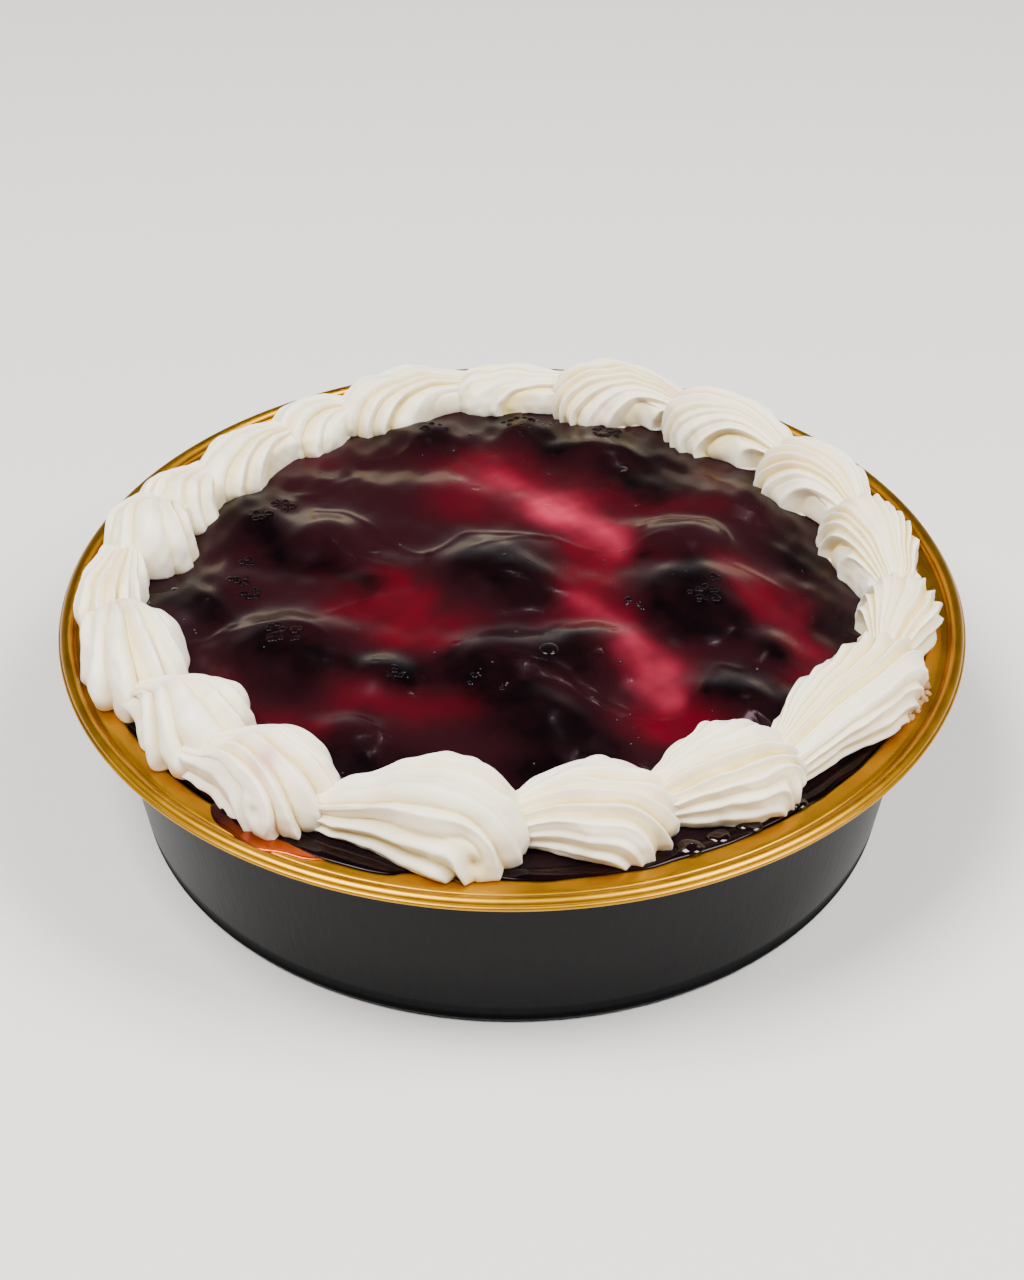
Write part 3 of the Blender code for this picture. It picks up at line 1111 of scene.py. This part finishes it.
@dataclass(frozen=True)
class Shell:
    """One piped shell, clockwise from its round head to its low tail.

    head and tail are angles. The radii are those of its centre line, and a width is half of what
    it measures across. ridges counts the star's points round the whole strand and depth is how
    deep its grooves are. lobed is 0 for sharp crests and 1 for full lobes with sharp grooves. yaw
    turns the head's front outwards, and twist winds the ridges round the strand, both in degrees.
    fan is 1 where the shell widens evenly from its tail, and 0 where it keeps a long narrow tail.
    nose is the head's front as a share of the length. strand is 1 where the outer side's ridges
    run along the strand, and 0 where all spread from the tail. eye is the curl at a head's end:
    its fan place, its share of the way down, its size in millimetres and its turn in degrees. arch
    is how far the top falls towards its sides, as a share of its height.
    """

    head: float
    tail: float
    head_radius: float
    head_width: float
    head_height: float
    tail_radius: float
    tail_width: float
    tail_height: float
    ridges: int
    depth: float
    lobed: float
    yaw: float
    twist: float
    fan: float
    nose: float = 0.5
    strand: float = 0.0
    eye: tuple = ()
    arch: float = 0.26


@dataclass
class CreamBorder:
    """The border of piped cream shells, whose ridges fan out from a low tail over a round head.

    bend places the middle of a ridge line's curve along and across, and brow is where it starts to
    fall. lump and froth are depth and length of the unevenness. syrup_spots are rows of X, Y, size
    and level of the pink stains.
    """

    base: float = 44.2
    sink: float = 0.25
    reach: float = 92.3
    crest_limit: float = 61.1
    rows: int = 260
    columns: int = 64
    under: int = 5
    turn_share: float = 0.74
    blunt: float = 0.82
    overlap: float = 2.6
    tail_tuck: float = 3.5
    bend: tuple[float, float] = (0.62, 0.55)
    brow: float = 0.42
    foot_turn: float = 1.2
    foot_bulge: tuple[float, float] = (0.2, 2.2)
    eye_scale: tuple[float, float] = (32.0, 26.0)
    eye_dent: float = 1.3
    lump: tuple[float, float] = (0.3, 9.0)
    froth: tuple[float, float] = (0.09, 3.5)
    mouth: float = 87.0
    shells: tuple = (
        Shell(208.0, 187.5, 80.4, 11.2, 13.2, 83.0, 3.5, 6.0, 7, 4.2, 0.9, 4, 0, 0.9, 0.66),
        Shell(224.0, 208.0, 77.0, 12.0, 13.8, 81.5, 6.0, 6.5, 7, 2.8, 1.0, 22, 26, 0.7, 0.55),
        Shell(242.5, 224.0, 77.9, 11.2, 14.2, 81.0, 6.0, 6.5, 9, 2.5, 0.8, 20, 12, 0.7, 0.5, 0.5,
              (0.5, 0.8, 4.6, 130.0)),
        Shell(270.5, 242.5, 76.6, 12.2, 16.3, 78.2, 4.4, 5.2, 8, 2.2, 0.6, 14, 0, 0.45, 0.36, 1.0,
              (0.5, 0.86, 4.2, 120.0)),
        Shell(292.0, 270.5, 74.8, 11.8, 12.7, 73.5, 4.0, 6.0, 11, 2.8, 0.35, 18, 0, 0.8, 0.5, 1.0),
        Shell(313.0, 292.0, 74.8, 12.0, 13.2, 73.5, 4.0, 6.0, 11, 2.8, 0.35, 8, 0, 0.8, 0.48, 1.0,
              (0.4, 0.86, 4.2, 140.0)),
        Shell(344.0, 313.0, 77.8, 10.6, 11.5, 77.0, 5.0, 6.5, 12, 2.6, 0.3, 12, 0, 0.7, 0.5, 0.9),
        Shell(359.5, 344.0, 80.5, 9.2, 10.5, 79.0, 4.5, 6.5, 12, 2.6, 0.3, 8, 0, 0.8, 0.6, 0.6),
        Shell(380.0, 359.5, 78.6, 10.9, 12.0, 80.0, 5.0, 6.5, 14, 2.8, 0.3, 0, 0, 1.0, arch=0.4),
        Shell(399.5, 380.0, 78.6, 10.9, 11.6, 79.4, 4.8, 6.2, 12, 2.6, 0.4, -12, 0, 0.6, arch=0.48),
        Shell(421.0, 399.5, 78.7, 9.5, 12.3, 79.2, 4.8, 6.2, 12, 2.4, 0.5, -14, 0, 0.45, arch=0.48),
        Shell(442.0, 421.0, 79.2, 9.5, 12.3, 80.0, 5.2, 6.6, 12, 2.4, 0.4, -20, 0, 0.4, arch=0.48),
        Shell(458.5, 442.0, 80.4, 7.4, 8.7, 80.7, 5.6, 6.6, 8, 0.8, 0.6, -6, 0, 0.3, arch=0.48),
        Shell(479.0, 458.5, 79.4, 9.3, 10.4, 81.5, 5.4, 6.0, 9, 1.4, 0.5, -14, 0, 0.5, arch=0.48),
        Shell(491.0, 479.0, 78.8, 8.6, 9.3, 79.5, 5.6, 6.0, 7, 1.2, 0.7, -10, 8, 0.5, arch=0.48),
        Shell(510.0, 491.0, 78.3, 8.4, 9.4, 78.9, 5.8, 6.4, 7, 1.1, 0.6, -8, 5, 0.4, arch=0.48),
        Shell(520.0, 510.0, 79.7, 9.5, 10.3, 79.5, 6.4, 7.0, 7, 1.3, 0.7, -8, 5, 0.4, arch=0.4),
        Shell(533.0, 520.0, 79.4, 10.4, 12.6, 81.0, 7.0, 7.5, 6, 1.4, 0.8, -12, 8, 0.5),
        Shell(547.5, 533.0, 84.2, 7.4, 9.2, 83.0, 5.5, 7.0, 9, 1.7, 0.5, 6, 0, 0.7),
    )
    syrup_spots: tuple = (
        (-46.0, -68.0, 3.2, 0.75), (-80.5, -11.0, 2.5, 0.5), (37.0, 72.0, 4.0, 0.35),
        (21.0, 66.5, 2.5, 0.4), (62.0, 40.0, 3.0, 0.2), (-84.0, -14.0, 2.0, 0.5),
    )

    def inner_edge(self, angle: Array) -> Array:
        """Finds the radius of the border's inner edge, from each shell's centre line and width.

        Args:
            angle: Angles round the pie, in degrees.

        Returns:
            The radius at each angle, and the tin's mouth where no shell stands.
        """
        edge = np.full(np.shape(angle), self.mouth)
        for shell in self.shells:
            along = ((shell.head - angle) % 360.0) / (shell.head - shell.tail)
            swell = smooth_step((1.0 - np.clip(along, 0.0, 1.0)) / 0.68)
            radius = shell.tail_radius + (shell.head_radius - shell.tail_radius) * swell
            width = shell.tail_width + (shell.head_width - shell.tail_width) * swell
            edge = np.where(along <= 1.0, radius - width, edge)
        return edge

    def swell(self, shell: Shell, part: Array) -> Array:
        """Works out how far a shell has widened: an even widening blended with a late, smooth one.

        Args:
            shell: The shell's sizes.
            part: Share of the way from the tail's end to the middle of the head.

        Returns:
            0 at the tail to 1 at the head.
        """
        part = np.clip(part, 0.0, 1.0)
        return shell.fan * part**0.85 + (1.0 - shell.fan) * smooth_step(part / 0.95)

    def outline(self, shell: Shell, fan: Array) -> tuple[Array, Array, float, float]:
        """Draws a shell's outline from above, before it is bent round the border.

        Fan is 0 at the tip of the head and runs to 1 and -1 at the tail's outer and inner side.
        The front is half a blunt oval, and the sides run back to the tail.

        Args:
            shell: The shell's sizes.
            fan: Places on the outline.

        Returns:
            Places along and across the shell, its length and the place of the head's middle.
        """
        length = math.radians(shell.head - shell.tail) * 0.5 * (shell.head_radius + shell.tail_radius)
        front = length + self.overlap
        reach = shell.nose * length
        middle = front - reach
        lap = np.clip(np.abs(fan) / self.turn_share, 0.0, 1.0) * 0.5 * math.pi
        side = np.clip((np.abs(fan) - self.turn_share) / (1.0 - self.turn_share), 0.0, 1.0)
        along = middle + reach * np.clip(np.cos(lap), 0.0, 1.0) ** self.blunt
        along = along - (middle + self.tail_tuck) * side
        wide = shell.tail_width + (shell.head_width - shell.tail_width) * self.swell(shell, 1.0 - side)
        across = np.sign(fan) * np.sin(lap) ** self.blunt * wide
        return along, across, length, middle

    def ridge_places(
        self, shell: Shell, fan: Array, along: Array, across: Array, high: Array, middle: float, wide: Array
    ) -> Array:
        """Numbers the ridge lines that pass each place, from -1 on the inner side to 1 on the outer.

        On the outer side the number is the lean from upright round the strand's axis, as a share
        of a quarter turn, so that ridges run along the strand. It turns into the fan place past
        the head's middle and on the inner side, where ridges spread to the foot.

        Args:
            shell: The shell's sizes.
            fan: Fan places, one a row.
            along: Places along the shell, in millimetres.
            across: Places across it, outer side positive.
            high: Heights above the base.
            middle: Where the head's middle is along the shell.
            wide: Half of the shell's width at each place.

        Returns:
            A number for each place.
        """
        lean = 1.0 - 2.0 / math.pi * np.arctan2(np.maximum(high, 0.0), across)
        ahead = smooth_step((along - middle) / (0.8 * (np.max(along) - middle)))
        outer = smooth_step(0.5 + 0.9 * across / wide)
        share = shell.strand * outer * (1.0 - 0.85 * ahead)
        return (1.0 - share) * fan + share * lean

    @staticmethod
    def steepness(place: Array, over: Array, down: Array) -> Array:
        """How fast a value on the surface changes with distance, from its steps along the grid.

        Args:
            place: The value at each point of the grid.
            over: Steps of the points from row to row.
            down: Steps of the points from column to column.

        Returns:
            The size of the value's slope along the surface.
        """
        rise_over, rise_down = np.gradient(place, axis=0), np.gradient(place, axis=1)
        square_over, square_down = np.sum(over**2, axis=-1), np.sum(down**2, axis=-1)
        mixed = np.sum(over * down, axis=-1)
        area = np.maximum(square_over * square_down - mixed**2, 1e-6)
        slope = square_down * rise_over**2 - 2.0 * mixed * rise_over * rise_down + square_over * rise_down**2
        return np.sqrt(np.maximum(slope, 1e-9) / area)

    def ridge_pattern(
        self, shell: Shell, fan: Array, place: Array, t: Array, seed: int
    ) -> tuple[Array, Array]:
        """Works out how deep each place lies in a groove, and the dent of the scroll's eye.

        Ridges follow lines of equal number. Their profile blends a sine's size, for sharp crests,
        with one less a cosine's size, for full lobes. Round the eye the lines are turned by an
        angle that fades with distance, so they wind into a curl.

        Args:
            shell: The shell's sizes.
            fan: Fan places, one a row.
            place: Numbers of the ridge lines.
            t: Shares of the way from tail to foot, one a column.
            seed: Seed of its unevenness.

        Returns:
            The groove's depth, from 0 to 1.2, and the eye's dent, from 0 to 1.
        """
        draw = np.random.default_rng(seed)
        phase = draw.uniform(0.0, 2.0 * math.pi, 8)
        dent = 0.0 * fan * t
        flow = place + math.radians(shell.twist) * (t - 0.6)
        if shell.eye:
            eye_fan, eye_t, size, turns = shell.eye
            u, v = (fan - eye_fan) * self.eye_scale[0], (t - eye_t) * self.eye_scale[1]
            near = np.exp(-(u**2 + v**2) / size**2)
            curl = math.radians(turns) * near
            flow = flow + (u * np.cos(curl) - v * np.sin(curl) - u) / self.eye_scale[0]
            dent = np.exp(-(u**2 + v**2) / (0.3 * size) ** 2)
        wander = 0.3 * np.sin(4.0 * flow + phase[0]) + 0.22 * np.sin(9.0 * flow + 1.5 * t + phase[1])
        wander = wander + 0.16 * np.sin(5.0 * t + 3.0 * flow + phase[2])
        star = 0.5 * math.pi * shell.ridges * (flow + 1.0) + wander + phase[3]
        star = star + 0.28 * np.sin(2.0 * star + 0.9)
        sharp = np.abs(np.sin(star)) ** 1.1
        full = 1.0 - np.abs(np.cos(star)) ** 0.6
        groove = (1.0 - shell.lobed) * sharp + shell.lobed * full
        uneven = 0.85 + 0.3 * np.sin(6.0 * flow + phase[4]) + 0.22 * np.sin(15.0 * flow + phase[5])
        return np.clip(groove * np.clip(uneven, 0.25, 1.3), 0.0, 1.2), dent

    def piped(self, shell: Shell, seed: int) -> tuple[Array, Array]:
        """Fans a shell's ridges out from its tail and rounds them down to the base.

        Each row follows one ridge line: a curve from the narrow tail to the outline. It rises to
        the shell's top and then falls in a little more than a quarter circle to its foot, which
        bulges. Then it runs back under the shell. The surface is pushed in along its own normals
        by the groove depth, which is at most about half of the ridges' spacing.

        Args:
            shell: The shell's sizes.
            seed: Seed of its unevenness.

        Returns:
            Points by row and column, and how deep in a groove each lies, from 0 to 1.
        """
        fan = np.linspace(-1.0, 1.0, self.rows)[:, None]
        t = np.linspace(0.0, 1.0, self.columns)[None, :]
        edge_s, edge_w, length, middle = self.outline(shell, fan)
        start_s, start_w = -self.tail_tuck, 0.6 * shell.tail_width * fan
        bend_s = start_s + self.bend[0] * (edge_s - start_s)
        bend_w = start_w + self.bend[1] * (edge_w - start_w)
        run = np.hypot(edge_s - start_s, edge_w - start_w)
        crest = 1.0 - np.minimum(0.44, 1.05 * shell.head_height / run)
        brow = self.brow
        fall = np.clip((t - brow) / (1.0 - brow), 0.0, 1.0) * 0.5 * math.pi * self.foot_turn
        share = np.where(t < brow, crest * t / brow, crest + (1.0 - crest) * np.sin(fall))
        weights = ((1.0 - share) ** 2, 2.0 * share * (1.0 - share), share**2)
        along = weights[0] * start_s + weights[1] * bend_s + weights[2] * edge_s
        across = weights[0] * start_w + weights[1] * bend_w + weights[2] * edge_w

        part = (along - start_s) / (middle - start_s)
        swell = self.swell(shell, part)
        wide = shell.tail_width + (shell.head_width - shell.tail_width) * swell
        climb = np.sin(0.5 * math.pi * np.clip(part, 0.0, 1.0))
        climb = shell.fan * climb + (1.0 - shell.fan) * smooth_step(part)
        top = shell.tail_height + (shell.head_height - shell.tail_height) * climb
        top = top * (1.0 - shell.arch * np.clip(across / wide, -1.0, 1.0) ** 2)
        bulge = np.minimum(self.foot_bulge[0] * top, self.foot_bulge[1])
        high = bulge + (top - bulge) * np.cos(fall)

        points = np.stack([along, across, high], axis=-1)
        over, down = np.gradient(points, axis=0), np.gradient(points, axis=1)
        normal = np.cross(over, down)
        normal = normal / np.maximum(np.linalg.norm(normal, axis=-1, keepdims=True), 1e-9)
        normal = normal * np.sign(np.mean(normal[..., 2]))
        place = self.ridge_places(shell, fan, along, across, high, middle, wide)
        spacing = 2.0 / shell.ridges / self.steepness(place, over, down)
        groove, dent = self.ridge_pattern(shell, fan, place, t, seed)
        cut = groove * np.minimum(shell.depth, 0.5 * spacing) + self.eye_dent * dent
        apart = along + 200.0 * seed
        lump = self.lump[0] * waves(apart, across, high, self.lump[1], seed + 100)
        fine = self.froth[0] * waves(apart, across, high, self.froth[1], seed + 200)
        points = points + normal * (lump + fine - cut)[..., None]

        under = np.linspace(1.0, 0.0, self.under + 2)[None, 1:-1]
        floor = np.stack(
            [
                start_s + (points[:, -1:, 0] - start_s) * under,
                start_w + (points[:, -1:, 1] - start_w) * under,
                np.full((self.rows, self.under), -1.0),
            ],
            axis=-1,
        )
        points = np.concatenate([points, floor], axis=1)
        groove = np.concatenate([groove, np.zeros((self.rows, self.under))], axis=1)

        along, side = points[..., 0], points[..., 1]
        part = (along - start_s) / (middle - start_s)
        yaw = math.radians(shell.yaw) * smooth_step(part / 0.9)
        forward = along - middle
        along = middle + forward * np.cos(yaw) - side * np.sin(yaw)
        outward = forward * np.sin(yaw) + side * np.cos(yaw)
        drift = (shell.head_radius - shell.tail_radius) * self.swell(shell, part)
        radius = np.minimum(shell.tail_radius + drift + outward, self.reach)
        angle = np.radians(shell.tail + (shell.head - shell.tail) * along / length)
        z = np.clip(self.base + points[..., 2], self.base - self.sink, self.crest_limit)
        rings = np.stack([radius * np.cos(angle), radius * np.sin(angle), z], axis=-1)
        return rings, np.clip(groove, 0.0, 1.0)

    def build(self, cream: bpy.types.Material) -> None:
        """Builds all the shells, with fields for the painted shade of their grooves and the syrup's stains.

        A stain is its level times a bell curve of the distance from its spot.

        Args:
            cream: The cream's material.
        """
        for number, shell in enumerate(self.shells, start=1):
            rings, groove = self.piped(shell, seed=number)
            points, faces = closed_tube(rings)
            # Painted shade: the deeper a place lies in a groove, the more of the warmer groove colour it
            # takes.
            painted_groove_shade = np.append(groove.ravel() ** 1.5, [0.5, 0.5])
            stain = np.zeros(len(points))
            for x, y, size, level in self.syrup_spots:
                far = np.hypot(points[:, 0] - x, points[:, 1] - y) / size
                stain = np.maximum(stain, level * np.exp(-(far**2)))
            name = f"cream_shell_{number:02d}"
            fields = {"groove": painted_groove_shade, "syrup": stain}
            make_piece(f"piped_{name}", points, faces, cream, Slot.CREAM, (name,), fields)


@dataclass
class Spills:
    """What has run or fallen on the flange: a film of syrup, drops of glaze and a few crumbs.

    drops and crumbs are rows of angle, radius and size.
    """

    flange_top: float = 43.9
    film_span: tuple[float, float] = (228.5, 249.0)
    film_inner: float = 86.2
    film_reach: float = 5.3
    film_rise: float = 0.3
    film_steps: int = 90
    drops: tuple = (
        (293.2, 84.9, 2.7), (297.4, 84.6, 2.4), (302.0, 84.8, 2.6), (231.4, 86.0, 1.9), (309.8, 85.4, 2.0),
    )
    crumbs: tuple = (
        (333.6, 88.3, 1.1), (335.3, 88.9, 0.8), (336.4, 87.9, 1.5),
        (338.0, 88.7, 1.3), (339.4, 89.2, 0.9), (340.8, 88.4, 1.2),
    )

    def build_film(self, syrup: bpy.types.Material) -> None:
        """Builds the syrup film: a lens of syrup with a wavering edge, thick beside the mouth.

        Its reach is a power of a half sine along the film, and its height falls off as the fourth
        power of the way out.

        Args:
            syrup: The film's material.
        """
        share = np.linspace(0.0, 1.0, self.film_steps)
        start, end = self.film_span
        turn = np.radians(start + (end - start) * share)
        reach = self.film_reach * np.sin(math.pi * share**0.8) ** 0.7
        reach = reach + 0.5 * np.sin(17.0 * share) * np.sin(math.pi * share) + 0.05
        out = np.linspace(0.0, 1.0, 12)[None, :]
        radius = self.film_inner + reach[:, None] * out
        dome = np.sqrt(np.clip(1.0 - out**4, 0.0, 1.0))
        rise = self.film_rise * dome * np.sin(math.pi * share)[:, None] ** 0.5
        height = self.flange_top - 0.12 + rise
        low = np.full_like(radius, self.flange_top - 0.45)
        ring_radius = np.concatenate([radius, radius[:, ::-1]], axis=1)
        ring_height = np.concatenate([height, low], axis=1)
        across, deep = ring_radius * np.cos(turn)[:, None], ring_radius * np.sin(turn)[:, None]
        points, faces = closed_tube(np.stack([across, deep, ring_height], axis=-1))
        thick = np.clip(1.25 - 2.1 * share, 0.0, 1.0)[:, None] + 0.35 * (1.0 - out) ** 2
        thick = np.clip(np.concatenate([thick, thick[:, ::-1]], axis=1), 0.0, 1.0)
        fields = {"depth": np.append(thick.ravel(), [1.0, 0.0])}
        make_piece("syrup_on_flange", points, faces, syrup, Slot.GLAZE, (), fields)

    def lumps(self, places: tuple, flatness: float, rough: float, seed: int) -> tuple[Array, list[Array]]:
        """Makes rounded lumps standing on the flange, as one mesh of closed balls.

        A ball's radius is swollen by waves of its place, as much as rough says.

        Args:
            places: Angle, radius and size of each lump.
            flatness: Height as a share of the size.
            rough: Depth of the unevenness as a share of the size.
            seed: Seed of the unevenness.

        Returns:
            The points and the faces.
        """
        template, template_faces = ball(12, 20)
        points = []
        for number, (angle, radius, size) in enumerate(places):
            swell = 1.0 + rough * waves(*(template.T + 7.0 * number), 1.1, seed)
            spot = np.array([math.cos(math.radians(angle)), math.sin(math.radians(angle)), 0.0]) * radius
            spot[2] = self.flange_top + 0.1 * size
            points.append(spot + template * swell[:, None] * size * np.array([1.0, 0.8, flatness]))
        return np.vstack(points), repeated(template_faces, len(places), len(template))

    def build(self, syrup: bpy.types.Material, glaze: bpy.types.Material, crumb: bpy.types.Material) -> None:
        """Builds the film, the drops of glaze and the crumbs.

        Args:
            syrup: The film's material.
            glaze: The drops' material.
            crumb: The crumbs' material.
        """
        self.build_film(syrup)
        points, faces = self.lumps(self.drops, 0.32, 0.1, seed=41)
        make_piece("glaze_drops", points, faces, glaze, Slot.GLAZE, (), dark_fields(len(points)))
        points, faces = self.lumps(self.crumbs, 0.8, 0.22, seed=42)
        make_piece("pastry_crumbs", points, faces, crumb, Slot.CREAM)


@dataclass
class Studio:
    """The plain stage: a pale floor, soft lights and the camera at the photograph's angle.

    lamps are rows of name, place, width and height in millimetres, and power in watts.
    """

    floor_half: float = 4000.0
    floor_levels: tuple[float, float] = (-0.1, -40.0)
    lens: float = 74.02
    sensor: float = 36.0
    camera_place: tuple[float, float, float] = (0.0, -448.44, 371.21)
    camera_tilt: float = 36.9518
    world: str = "F2F0F3"
    world_strength: float = 0.08
    horizon_strength: float = 0.8
    glow_height: float = 0.62
    lit_place: tuple[float, float, float] = (0.0, 0.0, 40.0)
    lamps: tuple = (
        ("key_left", (-480, -300, 1150), (600, 600), 35.0),
        ("key_right", (620, -280, 1000), (500, 600), 25.0),
        ("glint", (200, 600, 880), (22, 22), 0.2),
    )

    def build_floor(self) -> None:
        """Builds the floor: a flat square slab just under the tin."""
        rows = 5
        side = np.linspace(-self.floor_half, self.floor_half, rows)
        x, y = np.meshgrid(side, side, indexing="ij")
        slab = np.concatenate([np.stack([x, y, np.full_like(x, z)], -1) for z in self.floor_levels])
        top, ring, below = grid_faces(rows, rows), grid_rim(rows), rows * rows
        faces = [top, band_faces(ring, ring + below)[:, ::-1], top[:, ::-1] + below]
        make_piece("studio_floor", slab.reshape(-1, 3), faces, PaleSurface().material())

    def soft_light(self, name: str, place: tuple, size: tuple, power: float) -> None:
        """Adds a white area light that faces the pie.

        Args:
            name: The light's name.
            place: Its centre, in millimetres.
            size: Its width and height, in millimetres.
            power: Its power in watts.
        """
        lamp = bpy.data.lights.new(name, "AREA")
        lamp.shape = "RECTANGLE"
        lamp.size, lamp.size_y = size[0] * MM, size[1] * MM
        lamp.energy = power
        holder = bpy.data.objects.new(name, lamp)
        start = np.asarray(place, float)
        sight = np.asarray(self.lit_place) - start
        holder.location = start * MM
        tilt = math.acos(-sight[2] / np.linalg.norm(sight))
        holder.rotation_euler = (tilt, 0.0, math.atan2(sight[1], sight[0]) - 0.5 * math.pi)
        bpy.context.scene.collection.objects.link(holder)

    def build_world(self) -> None:
        """Builds the surrounding light: bright at the horizon, and darker with height above it."""
        world = bpy.data.worlds.new("studio")
        world.use_nodes = True
        tree = world.node_tree
        tree.nodes.clear()
        sight = add_node(tree, "TexCoord")
        parts = add_node(tree, "SeparateXYZ", links={"Vector": (sight, "Object")})
        span = {
            "interpolation_type": "SMOOTHSTEP",
            "From Max": self.glow_height,
            "To Min": self.horizon_strength,
            "To Max": self.world_strength,
        }
        glow = add_node(tree, "MapRange", span, {"Value": (parts, "Z")})
        sky = add_node(tree, "Background", {"Color": linear(self.world)}, {"Strength": (glow, "Result")})
        add_node(tree, "OutputWorld", links={"Surface": (sky, "Background")})
        bpy.context.scene.world = world

    def build(self) -> None:
        """Builds the floor, the lights, the world and the camera."""
        self.build_floor()
        for lamp in self.lamps:
            self.soft_light(*lamp)
        self.build_world()
        eye = bpy.data.cameras.new("camera")
        eye.lens, eye.sensor_width = self.lens, self.sensor
        eye.clip_start = 0.01
        holder = bpy.data.objects.new("camera", eye)
        holder.location = [value * MM for value in self.camera_place]
        holder.rotation_euler = (math.radians(90.0 - self.camera_tilt), 0.0, 0.0)
        bpy.context.scene.collection.objects.link(holder)
        bpy.context.scene.camera = holder


def main() -> None:
    """Builds the pie's pieces and the stage, in order."""
    border, top = CreamBorder(), GlazedTop()
    FoilTin().build(GoldLacquer().material(), CharcoalLacquer().material())
    glaze = BerryGlaze(dulling=0.3).material()
    run = BerryGlaze(title="berry glaze, run out", roughness=0.12, shine=0.16, coat=0.15).material()
    crown = BerryGlaze(title="berry skin, puckered", roughness=0.34, shine=0.1, coat=0.08).material()
    drop = BerryGlaze(title="berry glaze, in drops", roughness=0.05, shine=0.2, coat=0.8).material()
    top.build(glaze, border)
    top.build_run(run)
    top.build_details(crown, drop, border)
    border.build(WhippedCream().material())
    Spills().build(SyrupFilm().material(), drop, BakedCrumb().material())
    Studio().build()


if __name__ == "__main__":
    main()
